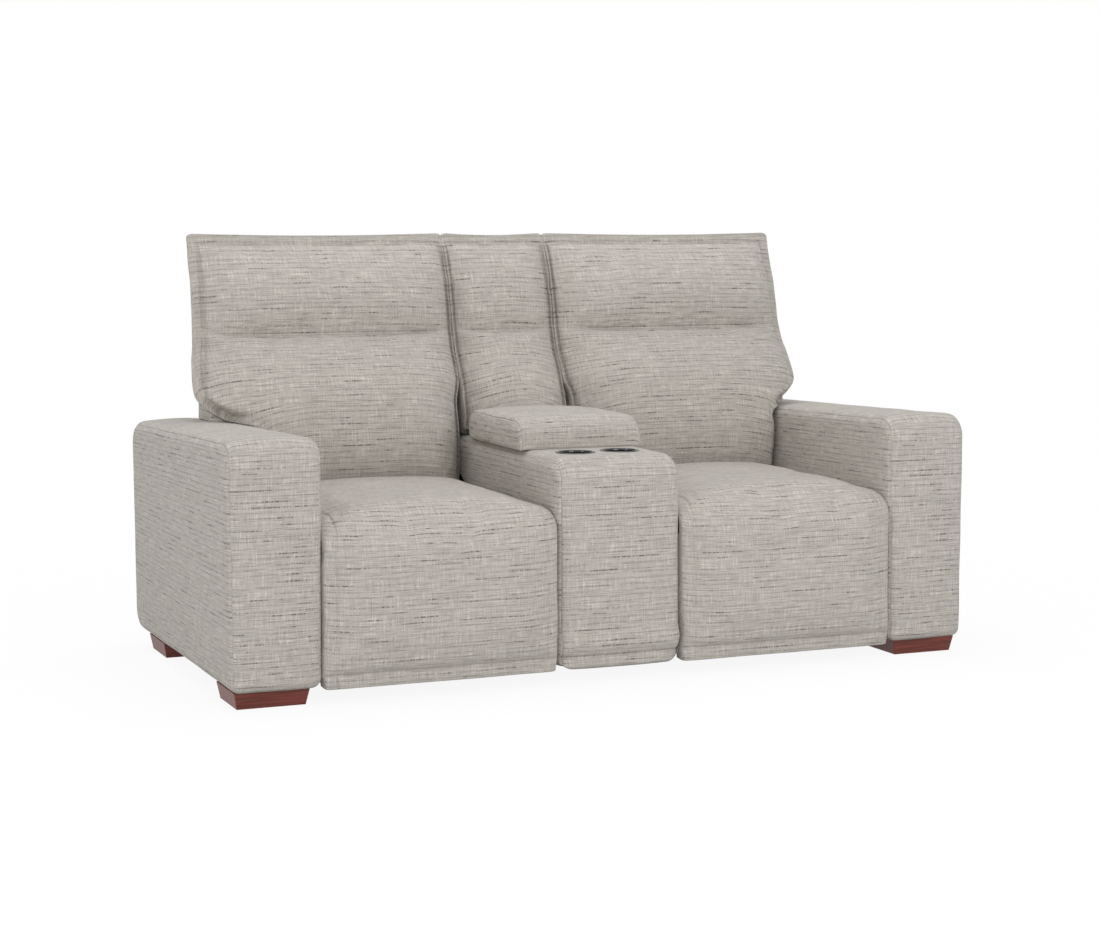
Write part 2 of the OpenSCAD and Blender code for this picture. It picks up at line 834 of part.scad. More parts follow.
module side_plates(side) {
  axle_l = track_web_x - over - plate_x - plate_t;
  color([0.16, 0.16, 0.17]) place() hand(side) both_sides() union() {
    difference() {
      plate_yz(plate_x, plate_t) side_plate_outline();
      translate([0, crank_pivot[0], crank_pivot[1]])
        rod_x(plate_x - over, plate_t + 2 * over, link_pin_r + pin_clear);
    }
    translate([0, pivot_y, pivot_z])
      rod_x(plate_x - link_t - 2 * washer_t, link_t + 2 * washer_t + over, pivot_pin_r);
    for (p = [roller_front, roller_rear]) {
      translate([0, p[0], p[1]]) rod_x(plate_x + plate_t - over, axle_l + over, axle_r);
    }
  }
}

module left_side_plates() {
  side_plates(-1);
}

module right_side_plates() {
  side_plates(1);
}

// Tracks: inclined steel channels, open towards the side plates, on plates that stand on the base rails
axle_r = 4;
roller_w = 10;
track_gap = 6;
track_t = 2.5;
track_web_x = bay_w / 2 - track_gap - track_t;
track_lead = 4;
channel_depth = 16;
base_z = 60;
base_h = 25;
base_w = 30;
track_front_y = roller_front[0] - slide_travel * cos(track_deg) - roller_r - track_lead;
track_rear_y = roller_rear[0] + roller_r + soft_clear + track_t;

function track_z(y) = roller_front[1] + (roller_front[0] - y) * tan(track_deg);

module channel_outline(half) {
  polygon([
    [track_front_y, track_z(track_front_y) - half], [track_front_y, track_z(track_front_y) + half],
    [track_rear_y, track_z(track_rear_y) + half], [track_rear_y, track_z(track_rear_y) - half]
  ]);
}

module tracks(side) {
  half = (roller_r + seat_clear) / cos(track_deg);
  wall = track_t / cos(track_deg);
  color([0.30, 0.30, 0.32]) place() hand(side) both_sides() difference() {
    union() {
      plate_yz(track_web_x + track_t - channel_depth, channel_depth) channel_outline(half + wall);
      plate_yz(track_web_x, track_t) polygon([
        [track_front_y, track_z(track_front_y)], [track_front_y, base_z + base_h],
        [track_rear_y, base_z + base_h], [track_rear_y, track_z(track_rear_y)]
      ]);
    }
    difference() {
      plate_yz(track_web_x - channel_depth, channel_depth) channel_outline(half);
      box([0, track_rear_y - track_t, 0], [bay_w, track_rear_y + over, deck_z]);
    }
  }
}

module left_tracks() {
  tracks(-1);
}

module right_tracks() {
  tracks(1);
}

module rollers(side) {
  color([0.85, 0.84, 0.80]) place() hand(side) both_sides() for (p = [roller_front, roller_rear]) {
    translate([0, p[0], p[1]]) difference() {
      rod_x(track_web_x - roller_w - seat_clear, roller_w, roller_r, 40);
      rod_x(track_web_x - roller_w - over, roller_w + 2 * over, axle_r + pin_clear);
    }
  }
}

module left_rollers() {
  rollers(-1);
}

module right_rollers() {
  rollers(1);
}

// Base rails: two rectangular steel tubes under each seat, from the arm to the console
base_wall = 2;
function arm_face_in(z) = arm_taper * (arm_h - arm_front_r - z) / (arm_h - arm_front_r - arm_z - arm_hem_r);

module base_rails(side) {
  far = bay_out + arm_face_in(base_z + base_h) - seat_clear;
  near = bay_in + seat_clear;
  color([0.20, 0.20, 0.21]) place() hand(side)
    for (y = [track_front_y, track_rear_y - base_w]) {
    difference() {
      box([near, y, base_z], [far, y + base_w, base_z + base_h]);
      box(
        [near - over, y + base_wall, base_z + base_wall],
        [far + over, y + base_w - base_wall, base_z + base_h - base_wall]
      );
    }
  }
}

module left_base_rails() {
  base_rails(-1);
}

module right_base_rails() {
  base_rails(1);
}

// Rear stretcher: a wooden rail from arm to arm behind the backs
stretcher_inset = 100;
stretcher_y = arm_d - stretcher_inset;
stretcher_t = 24;
stretcher_h = 70;
stretcher_z = 70;

module rear_stretcher() {
  far = bay_out + arm_face_in(stretcher_z + stretcher_h) - seat_clear;
  color([0.62, 0.50, 0.36]) place()
    box([-far, stretcher_y, stretcher_z], [far, stretcher_y + stretcher_t, stretcher_z + stretcher_h]);
}

// Seat frame: a hardwood frame between the side plates
frame_seat_half = plate_x - seat_clear;
frame_front_y = 62;
frame_rear_margin = 12;
frame_rear_y = seat_rear_y - frame_rear_margin;

module seat_frame(side) {
  color([0.66, 0.54, 0.40]) place() hand(side) translate([bay_x, 0, 0]) difference() {
    box([-frame_seat_half, frame_front_y, deck_z - rail_h], [frame_seat_half, frame_rear_y, deck_z]);
    box(
      [-frame_seat_half + rail_w, frame_front_y + rail_w, deck_z - rail_h - over],
      [frame_seat_half - rail_w, frame_rear_y - rail_w, deck_z + over]
    );
  }
}

module left_seat_frame() {
  seat_frame(-1);
}

module right_seat_frame() {
  seat_frame(1);
}

// Seat webbing: elastic straps over the seat frame
strap_w = 60;
strap_shares = [0.1, 0.3, 0.5, 0.7, 0.9];

module seat_webbing(side) {
  run_y = frame_rear_y - frame_front_y;
  color([0.86, 0.84, 0.80]) place() hand(side) translate([bay_x, 0, 0]) union() {
    for (s = strap_shares) {
      x = (2 * s - 1) * (frame_seat_half - rail_w);
      y = frame_front_y + rail_w + s * (run_y - 2 * rail_w);
      box([x - strap_w / 2, frame_front_y, deck_z], [x + strap_w / 2, frame_rear_y, deck_z + strap_t]);
      box(
        [-frame_seat_half, y - strap_w / 2, deck_z],
        [frame_seat_half, y + strap_w / 2, deck_z + strap_t]
      );
    }
  }
}

module left_seat_webbing() {
  seat_webbing(-1);
}

module right_seat_webbing() {
  seat_webbing(1);
}

// Seat cushion: crowned between its side seams, rolling over at the front and hollow over the hinge
seat_bottom = deck_z + strap_t + soft_clear;
seat_half = bay_w / 2 - seat_gap;
nose_lift = 28;
nose_back = 31;
step_over = 4;
nose_z = knee_z + nose_lift;
nose_round = 34;
nose_start_share = 0.04;
nose_end_y = knee_y + nose_back;
step_lift = 12;
step_end_y = frame_front_y + step_over;
seat_side_round = 60;
seat_side_drop = 14;
seat_tail = 60;
seat_tail_share = 0.9;
nose_row_shares = [0, 0.08, 0.25, 0.6, 1];
seat_row_shares = [0.24, 0.4, 0.55, 0.7, 0.83, 0.93, 1];
seat_rows = concat(
  [for (s = nose_row_shares) s * nose_round],
  [nose_end_y - over, nose_end_y, step_end_y - over, step_end_y],
  [for (s = seat_row_shares) step_end_y + s * (seat_rear_y - step_end_y)]
);

function seat_low(y) = y < nose_end_y ? nose_z : y < step_end_y ? knee_z + step_lift : seat_bottom;

function seat_ring(y) = let (
  nose = nose_start_share + (1 - nose_start_share) * roll(y / nose_round),
  edge_z = seat_front_h + (seat_h - seat_front_h) * y / seat_rear_y,
  drawn = 1 - seat_tail_share * pow(max(0, 1 - (seat_rear_y - y) / seat_tail), 2),
  base = nose_z + over
) concat(
  [for (i = [0 : pad_cols]) let (
    x = -seat_half * cos(180 * i / pad_cols),
    e = roll((seat_half - abs(x)) / seat_side_round),
    top = edge_z - seat_side_drop * (1 - e) + seat_crown * (1 - pow(x / seat_half, 2)) * drawn
  ) [bay_x + x, y, base + (max(top, base + over) - base) * nose]],
  [[bay_x + seat_half, y, seat_low(y)], [bay_x - seat_half, y, seat_low(y)]]
);

module seat_cushion(side) {
  color([0.77, 0.75, 0.72]) place() hand(side)
    ring_skin([for (i = [len(seat_rows) - 1 : -1 : 0]) seat_ring(seat_rows[i])]);
}

module left_seat_cushion() {
  seat_cushion(-1);
}

module right_seat_cushion() {
  seat_cushion(1);
}

// Knee hinges: ears on the seat's front rail and the pin that the footrest straps turn on
knee_x = 190;
strap_half = 15;
ear_t = 3;
ear_r = 6;
ear_tuck = 2;
knuckle_r = 6.5;

module ear_outline() {
  union() {
    translate([knee_y, knee_z]) circle(r = ear_r, $fn = 32);
    polygon([
      [knee_y - ear_tuck, knee_z - ear_r + seat_clear], [frame_front_y, deck_z - rail_h + ear_tuck],
      [frame_front_y, deck_z - ear_tuck], [knee_y + ear_tuck, knee_z + ear_r - seat_clear]
    ]);
  }
}

module knee_hinges(side) {
  color([0.35, 0.35, 0.37]) place() hand(side) translate([bay_x, 0, 0]) for (x = [-knee_x, knee_x]) {
    translate([x, 0, 0]) union() {
      plate_yz(-strap_half - washer_t - ear_t, ear_t) ear_outline();
      plate_yz(strap_half + washer_t, ear_t) ear_outline();
      translate([0, knee_y, knee_z])
        rod_x(-strap_half - washer_t - over, 2 * (strap_half + washer_t + over), knee_pin_r);
    }
  }
}

module left_knee_hinges() {
  knee_hinges(-1);
}

module right_knee_hinges() {
  knee_hinges(1);
}

// Footrest board: a plywood panel that carries the pad and the two hinge straps
board_low_z = 62;
board_high_z = 322;
board_inset = 12;
board_half = seat_half - board_inset;
board_y = pad_t + soft_clear;
board_rear_y = board_y + board_t;
strap_plate_t = 3;
strap_lap = 70;
strap_neck = 5;

module strap_outline() {
  difference() {
    union() {
      translate([knee_y, knee_z]) circle(r = knuckle_r, $fn = 40);
      polygon([
        [knee_y - strap_neck, knee_z - strap_plate_t], [board_rear_y, board_high_z + ear_tuck],
        [board_rear_y, board_high_z - strap_lap], [board_rear_y + strap_plate_t, board_high_z - strap_lap],
        [board_rear_y + strap_plate_t, board_high_z + ear_tuck], [knee_y + strap_neck, knee_z + ear_tuck]
      ]);
    }
    translate([knee_y, knee_z]) circle(r = knee_pin_r + pin_clear, $fn = 40);
  }
}

module footrest_board(side) {
  color([0.66, 0.54, 0.40]) place() hand(side) translate([bay_x, 0, 0])
    box([-board_half, board_y, board_low_z], [board_half, board_rear_y, board_high_z]);
}

module left_footrest_board() {
  footrest_board(-1);
}

module right_footrest_board() {
  footrest_board(1);
}

// Footrest brackets: hinge straps at the top and lugs that the push bars turn on
bar_x = plate_x - 2 * link_t - 2 * washer_t;
lug_x = bar_x - washer_t - link_t;

lug_half = 50;
lug_lip = 10;
lug_lip_half = 6;

module lug_outline() {
  polygon([
    [board_rear_y, rest_pin[1] - lug_half], [rest_pin[0], rest_pin[1] - link_w / 2],
    [rest_pin[0] + lug_lip, rest_pin[1] - lug_lip_half], [rest_pin[0] + lug_lip, rest_pin[1] + lug_lip_half],
    [rest_pin[0], rest_pin[1] + link_w / 2], [board_rear_y, rest_pin[1] + lug_half]
  ]);
}

module footrest_brackets(side) {
  color([0.16, 0.16, 0.17]) place() hand(side) union() {
    translate([bay_x, 0, 0]) for (x = [-knee_x, knee_x]) {
      plate_yz(x - strap_half, 2 * strap_half) strap_outline();
    }
    both_sides() {
      plate_yz(lug_x, link_t) lug_outline();
      translate([0, rest_pin[0], rest_pin[1]])
        rod_x(lug_x + link_t - over, link_t + 2 * washer_t + over, link_pin_r);
    }
  }
}

module left_footrest_brackets() {
  footrest_brackets(-1);
}

module right_footrest_brackets() {
  footrest_brackets(1);
}

// Footrest pad: the upholstered front of the seat, from its sewn hem up and round over the hinge
pad_thin_y = knee_y - knuckle_r - soft_clear;
pad_step_rise = 14;
pad_step_z = board_high_z + pad_step_rise;
pad_roll_rise = 24;
pad_side_round = 40;
pad_side_drop = 10;
foot_row_shares = [0, 0.012, 0.095, 0.103, 0.14, 0.24, 0.4, 0.57, 0.75, 0.9, 1];
upper_row_shares = [0, 0.5, 1];
roll_row_shares = [0.3, 0.55, 0.75, 0.9, 1];
foot_crown_shares = [
  [0, 0.3], [0.01, 0.36], [0.083, 0.42], [0.09, 0.34], [0.12, 0.6], [0.2, 0.8], [0.35, 0.97], [0.5, 1],
  [0.65, 0.97], [0.8, 0.8], [0.95, 0.5], [1, 0.34]
];
foot_rows = concat(
  [for (s = foot_row_shares) hem_z + s * (pad_step_z - over - hem_z)],
  [for (s = upper_row_shares) pad_step_z + s * (knee_z - pad_step_z)],
  [for (s = roll_row_shares) knee_z + s * pad_roll_rise]
);

// The pad's front face, which turns back above the hinge at a steady distance from its pin
function foot_front(x, z) = let (
  crown = along(foot_crown_shares, (z - hem_z) / (knee_z - hem_z)),
  e = roll((seat_half - abs(x)) / pad_side_round),
  y = pad_side_drop * (1 - e) - seat_proud * crown * e * (1 - pow(x / seat_half, 4)),
  reach = knee_y - y,
  rise = max(0, z - knee_z)
) rise == 0 ? y : min(pad_thin_y - over, knee_y - sqrt(max(0, reach * reach - rise * rise)));

function foot_ring(z) = let (rear = z < pad_step_z ? pad_t : pad_thin_y) concat(
  [for (i = [0 : pad_cols]) let (x = seat_half * cos(180 * i / pad_cols)) [bay_x + x, foot_front(x, z), z]],
  [[bay_x - seat_half, rear, z], [bay_x + seat_half, rear, z]]
);

module footrest_pad(side) {
  color([0.76, 0.73, 0.70]) place() hand(side)
    ring_skin([for (i = [len(foot_rows) - 1 : -1 : 0]) foot_ring(foot_rows[i])]);
}

module left_footrest_pad() {
  footrest_pad(-1);
}

module right_footrest_pad() {
  footrest_pad(1);
}

// Cranks: one flat link each side on a cross tube, parallel to the footrest
module cranks(side) {
  color([0.30, 0.30, 0.32]) place() hand(side) union() {
    both_sides() difference() {
      union() {
        plate_yz(crank_x, link_t) link_outline(crank_pivot, elbow, link_w);
        translate([0, crank_pivot[0], crank_pivot[1]])
          rod_x(crank_x + link_t - over, washer_t + plate_t + over, link_pin_r);
      }
      translate([0, elbow[0], elbow[1]]) rod_x(crank_x - over, link_t + 2 * over, link_pin_r + pin_clear);
    }
    translate([bay_x, crank_pivot[0], crank_pivot[1]])
      rod_x(-crank_x - over, 2 * (crank_x + over), tube_r);
  }
}

module left_cranks() {
  cranks(-1);
}

module right_cranks() {
  cranks(1);
}

// Push bars: flat links from the cranks to the footrest lugs
module push_bars(side) {
  color([0.42, 0.42, 0.44]) place() hand(side) both_sides() difference() {
    union() {
      plate_yz(bar_x, link_t) link_outline(elbow, rest_pin, link_w);
      translate([0, elbow[0], elbow[1]])
        rod_x(bar_x + link_t - over, link_t + 2 * washer_t + over, link_pin_r);
    }
    translate([0, rest_pin[0], rest_pin[1]]) rod_x(bar_x - over, link_t + 2 * over, link_pin_r + pin_clear);
  }
}

module left_push_bars() {
  push_bars(-1);
}

module right_push_bars() {
  push_bars(1);
}

// Back brackets: steel arms from the back frame down to the recline pivots
bracket_foot_share = 0.26;
bracket_head_share = 0.34;
bracket_head_w = 52;

module back_bracket_outline() {
  foot = frame_front(bracket_foot_share);
  head = frame_front(bracket_head_share);
  difference() {
    union() {
      translate([pivot_y, pivot_z]) circle(r = plate_edge, $fn = 48);
      polygon([
        [pivot_y - plate_edge, pivot_z], [pivot_y + plate_edge, pivot_z],
        head + [bracket_head_w, -frame_tube], head, foot
      ]);
    }
    translate([pivot_y, pivot_z]) circle(r = pivot_pin_r + pin_clear, $fn = 48);
  }
}

module back_brackets(side) {
  color([0.16, 0.16, 0.17]) place() hand(side) both_sides()
    plate_yz(crank_x, link_t) back_bracket_outline();
}

module left_back_brackets() {
  back_brackets(-1);
}

module right_back_brackets() {
  back_brackets(1);
}

left_arm();
right_arm();
block_feet();
console_shell();
storage_bin();
left_cup_holder();
right_cup_holder();
lid_board();
lid_pad();
lid_pivot_arms();
lid_brackets();
centre_back_cushion();
centre_back_shell();
support_glides();
rear_stretcher();
left_base_rails();
right_base_rails();
left_tracks();
right_tracks();
left_side_plates();
right_side_plates();
left_rollers();
right_rollers();
left_seat_frame();
right_seat_frame();
left_seat_webbing();
right_seat_webbing();
left_seat_cushion();
right_seat_cushion();
left_knee_hinges();
right_knee_hinges();
left_footrest_board();
right_footrest_board();
left_footrest_pad();
right_footrest_pad();
left_footrest_brackets();
right_footrest_brackets();
left_cranks();
right_cranks();
left_push_bars();
right_push_bars();
left_back_frame();
right_back_frame();
left_back_webbing();
right_back_webbing();
left_back_cushion();
right_back_cushion();
left_back_shell();
right_back_shell();
left_back_brackets();
right_back_brackets();
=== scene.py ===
import math

import bmesh
import bpy
import numpy as np
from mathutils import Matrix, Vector


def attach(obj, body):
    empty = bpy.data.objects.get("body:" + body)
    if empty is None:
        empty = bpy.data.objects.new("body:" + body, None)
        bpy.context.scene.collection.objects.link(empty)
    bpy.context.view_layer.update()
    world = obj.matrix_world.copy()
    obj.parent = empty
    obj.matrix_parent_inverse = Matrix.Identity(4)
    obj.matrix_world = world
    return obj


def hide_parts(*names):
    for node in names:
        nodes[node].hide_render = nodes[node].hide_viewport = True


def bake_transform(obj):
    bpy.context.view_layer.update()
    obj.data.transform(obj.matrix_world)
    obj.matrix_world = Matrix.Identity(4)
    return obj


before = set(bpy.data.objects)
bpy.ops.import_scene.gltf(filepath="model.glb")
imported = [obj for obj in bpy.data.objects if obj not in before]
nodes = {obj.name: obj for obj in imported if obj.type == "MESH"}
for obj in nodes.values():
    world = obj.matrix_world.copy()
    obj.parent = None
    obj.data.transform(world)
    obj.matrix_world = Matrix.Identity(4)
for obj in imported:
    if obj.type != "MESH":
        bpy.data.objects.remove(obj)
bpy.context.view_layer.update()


# Camera: a long lens at eye height to the left of the sofa, level but for a slight downward tilt.
# The lens shift lowers the frame without tipping the uprights.
def placed(name, data):
    """A new object in the scene, at the origin and unturned."""
    made = bpy.data.objects.new(name, data)
    bpy.context.scene.collection.objects.link(made)
    return made


tilt_down, turned_right = 2.214, 22.859
camera = placed("camera", bpy.data.cameras.new("camera"))
camera.location = (-2.3597, -5.6377, 1.134)
camera.rotation_euler = (math.radians(90 - tilt_down), 0, math.radians(-turned_right))
camera.data.sensor_fit = "HORIZONTAL"
camera.data.sensor_width = 36
camera.data.lens = 75.15
camera.data.shift_y = -0.1455
bpy.context.scene.camera = camera
bpy.context.scene.view_settings.view_transform = "Standard"


# Arms: plywood boxes under foam and a slubby tweed, cut as a band over front and top between two
# side panels. The panels are sewn to the band with a plain turned seam along their whole outline.
class Flow:
    """A value on its way through a material: arithmetic on it adds the Math nodes."""

    def __init__(self, finish, socket):
        self.finish, self.socket = finish, socket

    def __add__(self, other):
        return self.finish.math("ADD", self, other)

    def __sub__(self, other):
        return self.finish.math("SUBTRACT", self, other)

    def __rsub__(self, other):
        return self.finish.math("SUBTRACT", other, self)

    def __mul__(self, other):
        return self.finish.math("MULTIPLY", self, other)

    __radd__, __rmul__ = __add__, __mul__


class Finish:
    """A material with one Principled shader, whose nodes are added by node()."""

    def __init__(self, name, tree=None, **shader):
        if tree is None:
            self.material = bpy.data.materials.new(name)
            self.material.use_nodes = True
            tree = self.material.node_tree
        self.tree = tree
        self.tree.nodes.clear()
        if shader:
            surface = self.node("ShaderNodeBsdfPrincipled", {}, {})
            self.shader = surface.socket.node
            self.set(**shader)
            self.node("ShaderNodeOutputMaterial", {}, {"Surface": surface})

    def node(self, kind, settings, sockets, output=0):
        """Any node: its settings are set first, then each socket gets its value or link."""
        made = self.tree.nodes.new(kind)
        for key, value in settings.items():
            setattr(made, key, value)
        for key, value in sockets.items():
            self.feed(made.inputs[key], value)
        return Flow(self, made.outputs[output]) if made.outputs else None

    def feed(self, socket, value):
        """Gives a socket its link, its colour or its plain value."""
        if isinstance(value, Flow):
            self.tree.links.new(value.socket, socket)
        elif isinstance(value, tuple) and len(value) == 3 and socket.type == "RGBA":
            socket.default_value = (*value, 1)
        else:
            socket.default_value = value

    def set(self, **sockets):
        """Feeds sockets of the shader, spaces written as underscores."""
        for key, value in sockets.items():
            self.feed(self.shader.inputs[key.replace("_", " ")], value)

    def math(self, operation, *values):
        """A Math node on values or links."""
        return self.node("ShaderNodeMath", {"operation": operation}, dict(enumerate(values)))

    def mix(self, a, b, factor):
        """Colour a going to colour b as the factor goes from 0 to 1."""
        return self.node("ShaderNodeMix", {"data_type": "RGBA"}, {0: factor, 6: a, 7: b}, output=2)

    def ease(self, value, low, high):
        """A smooth step from 0 at low to 1 at high."""
        return self.node(
            "ShaderNodeMapRange", {"interpolation_type": "SMOOTHSTEP"},
            {"Value": value, "From Min": low, "From Max": high})

    def place(self, source, scale):
        """Coordinates from the cloth's own map or from the object, stretched along each axis."""
        if source == "cloth":
            found = self.node("ShaderNodeUVMap", {"uv_map": "cloth"}, {})
        else:
            found = self.node("ShaderNodeTexCoord", {}, {}, output=3)
        return self.node("ShaderNodeMapping", {}, {"Vector": found, "Scale": scale})

    def noise(self, source, scale, detail=2.0, seed=0.0):
        """Cloudy noise from 0 to 1 in stretched coordinates."""
        return self.node(
            "ShaderNodeTexNoise", {"noise_dimensions": "4D"},
            {"Vector": self.place(source, scale), "W": seed, "Scale": 1.0, "Detail": detail})

    def bump(self, height, distance, strength):
        """Raises the surface by its height, 1 being the given distance in metres."""
        self.set(Normal=self.node(
            "ShaderNodeBump", {}, {"Height": height, "Distance": distance, "Strength": strength}))


def tweed(name, yarn, slub, slub_amount):
    """Plain weave of thick and thin yarn. Cloth coordinates are metres on the fabric, U along the
    weft. Fine noise stretched along each yarn gives the streaks. A thicker pick every 13 mm is
    faintly dark all along, and turns dark for a few centimetres, dotted where the warp crosses."""
    cloth = Finish(name, Base_Color=yarn, Roughness=0.92, Sheen_Weight=0.10)
    weft = cloth.noise("cloth", (16, 330, 1))
    warp = cloth.noise("cloth", (320, 22, 1), seed=4.0)
    patch = cloth.noise("cloth", (9, 30, 1), seed=9.0)
    spot = cloth.place("cloth", (1, 1, 1))
    split = cloth.node("ShaderNodeSeparateXYZ", {}, {"Vector": spot})
    along, up = (Flow(cloth, split.socket.node.outputs[axis]) for axis in (0, 1))

    def picks(pitch, width, seed):
        """Lines across the cloth a pitch apart, each off its row's middle by chance: how much a
        point is on a line, and the number of its row."""
        place = up * (1 / pitch)
        row = cloth.math("FLOOR", place)
        chance = cloth.node(
            "ShaderNodeTexWhiteNoise", {"noise_dimensions": "1D"}, {"W": row + seed})
        off = cloth.math("ABSOLUTE", place - row - 0.30 - chance * 0.40)
        return cloth.ease(off, 0.62 * width / pitch, 0.30 * width / pitch), row

    def along_pick(row, length, seed):
        """Noise along one row, with features of about the given length."""
        where = cloth.node(
            "ShaderNodeCombineXYZ", {}, {"X": along * (1 / length), "Y": row * 7.31 + seed})
        return cloth.node("ShaderNodeTexNoise", {"noise_dimensions": "2D"}, {
            "Vector": where, "Scale": 1.0, "Detail": 2.0, "Roughness": 0.55})

    thick, row = picks(pitch=0.0134, width=0.0034, seed=11.0)
    thin, thin_row = picks(pitch=0.0048, width=0.0022, seed=5.0)
    dots = cloth.ease(along_pick(row, 0.004, 3.0), 0.36, 0.62) * 0.75 + 0.25
    faint = cloth.ease(along_pick(row, 0.09, 17.0), 0.34, 0.60) * 0.38 + 0.16
    slubs = cloth.ease(along_pick(row, 0.11, 29.0), 0.57, 0.66)
    ribs = cloth.ease(along_pick(thin_row, 0.045, 41.0), 0.40, 0.66) * 0.42
    marks = cloth.math("MAXIMUM", thick * dots * cloth.math("MAXIMUM", faint, slubs),
                       thin * ribs * cloth.ease(warp, 0.30, 0.56))
    tone = (weft - 0.5) * 0.46 + (warp - 0.5) * 0.56 + (patch - 0.5) * 0.06
    pale, dull = tuple(min(1.0, c * 1.42) for c in yarn), tuple(c * 0.68 for c in yarn)
    shade = cloth.mix(yarn, pale, cloth.ease(tone, 0.0, 0.18))
    shade = cloth.mix(shade, dull, cloth.ease(tone, 0.0, -0.20))
    cloth.set(Base_Color=cloth.mix(shade, slub, marks * slub_amount))
    threads = [cloth.node("ShaderNodeTexWave", {"bands_direction": axis}, {
        "Vector": spot, "Scale": 104.0, "Distortion": 1.2, "Detail": 1.0, "Detail Scale": 0.3})
        for axis in "XY"]
    cloth.bump(cloth.math("MAXIMUM", *threads) * 0.5 + tone * 0.9 + marks * 0.4, 0.0011, 0.7)
    return cloth.material


slub_colour = (0.100, 0.083, 0.064)
sofa_cloth = tweed("sofa_tweed", (0.478, 0.447, 0.405), slub_colour, 0.90)
# The outside backs get a copy of the same tweed, a little darker with fainter slubs: painted shade
# for panels that face away from the light.
shaded_back_cloth = tweed("outside_back_tweed_painted_shade", (0.462, 0.432, 0.392), slub_colour, 0.85)


def graded(length, marks, fine, coarse, reach):
    """Places from 0 to a length, a fine step apart at the marks and a coarse step elsewhere. The
    step eases from one to the other by a bell of the given reach."""
    even = np.linspace(0, length, 6001)
    near = np.exp(-((even[:, None] - np.array([marks])) / reach) ** 2).max(1)
    run = np.cumsum(1 / (coarse - (coarse - fine) * near)) * even[1]
    return np.interp(np.linspace(run[0], run[-1], int(run[-1]) + 2), run, even)


def eased(table, at, softness):
    """The straight runs of a table of [place, value] pairs with their corners smoothed, read at
    each place: the mean of the runs over a bell of the given width."""
    places, values = np.array(table, float).T
    fine = np.linspace(places[0] - 4 * softness, places[-1] + 4 * softness, 2401)
    bell = np.exp(-0.5 * ((fine - fine.mean()) / softness) ** 2)
    smooth = np.convolve(np.interp(fine, places, values), bell / bell.sum(), "same")
    inside = (fine >= places[0]) & (fine <= places[-1])
    return np.interp(at, fine[inside], smooth[inside])


def ramp(t):
    """A straight ramp: t itself from 0 to 1, and level before and after."""
    return np.clip(t, 0, 1)


def bulge(t):
    """A quarter circle that rises from 0 at t = 0 to 1 at t = 1."""
    return np.sqrt(ramp(1 - (1 - ramp(t)) ** 2))


def lumps(points, size, seed):
    """Soft unevenness about zero: the mean of twelve sine waves of one length, in directions and
    phases drawn from the seed."""
    draw = np.random.default_rng(seed)
    waves = draw.normal(size=(12, 3))
    waves *= 2 * np.pi / size / np.linalg.norm(waves, axis=1, keepdims=True)
    return np.sin(points @ waves.T + draw.uniform(0, 2 * np.pi, 12)).mean(-1) * 2


def closed_mesh(name, patches, material):
    """One mesh from grids of points. Each grid brings its cloth coordinates, how firmly each point
    is held, from 0 to 1, and its distance to the nearest seam. Points that meet are merged."""
    points, cloth, held, seam, faces, first = [], [], [], [], [], 0
    for grid, cloth_uv, hold, seam_at in patches:
        rows, cols = grid.shape[:2]
        index = first + np.arange(rows * cols).reshape(rows, cols)
        faces.append(np.stack(
            [index[:-1, :-1], index[:-1, 1:], index[1:, 1:], index[1:, :-1]], -1).reshape(-1, 4))
        points.append(grid.reshape(-1, 3))
        cloth.append(cloth_uv.reshape(-1, 2))
        held.append(np.broadcast_to(hold, (rows, cols)).ravel())
        seam.append(np.broadcast_to(seam_at, (rows, cols)).ravel())
        first += rows * cols
    points, cloth, faces = np.vstack(points), np.vstack(cloth), np.vstack(faces)
    mesh = bpy.data.meshes.new(name)
    mesh.from_pydata(points, [], faces.tolist())
    mesh.uv_layers.new(name="cloth").data.foreach_set("uv", cloth[faces.ravel()].ravel())
    for key, values in (("held", held), ("seam", seam)):
        mesh.attributes.new(key, "FLOAT", "POINT").data.foreach_set(
            "value", np.concatenate(values))
    form = bmesh.new()
    form.from_mesh(mesh)
    bmesh.ops.remove_doubles(form, verts=form.verts, dist=2e-5)
    bmesh.ops.dissolve_degenerate(form, edges=form.edges, dist=1e-6)
    bmesh.ops.recalc_face_normals(form, faces=form.faces)
    form.to_mesh(mesh)
    form.free()
    mesh.polygons.foreach_set("use_smooth", np.ones(len(mesh.polygons), bool))
    mesh.materials.append(material)
    return placed(name, mesh)


def even_loop(points, count, hem=None):
    """The closed line through points cut into equal steps, or steps that are finer at a hem a
    given way before its end. Its first point is repeated at the end, and each point has its
    outward normal and the distance run."""
    loop = np.vstack([points, points[:1]])
    run = np.concatenate([[0], np.cumsum(np.linalg.norm(np.diff(loop, axis=0), axis=1))])
    at = np.linspace(0, run[-1], count + 1)
    if hem:
        at = graded(run[-1], [run[-1] - hem, run[-1]], 0.0022, run[-1] / count, 0.018)
    line = np.stack([np.interp(at, run, loop[:, k]) for k in (0, 1)], 1)
    line[-1] = line[0]
    step = np.roll(line[:-1], -1, 0) - np.roll(line[:-1], 1, 0)
    step /= np.linalg.norm(step, axis=1, keepdims=True)
    normal = np.stack([step[:, 1], -step[:, 0]], 1)
    return line, np.vstack([normal, normal[:1]]), at


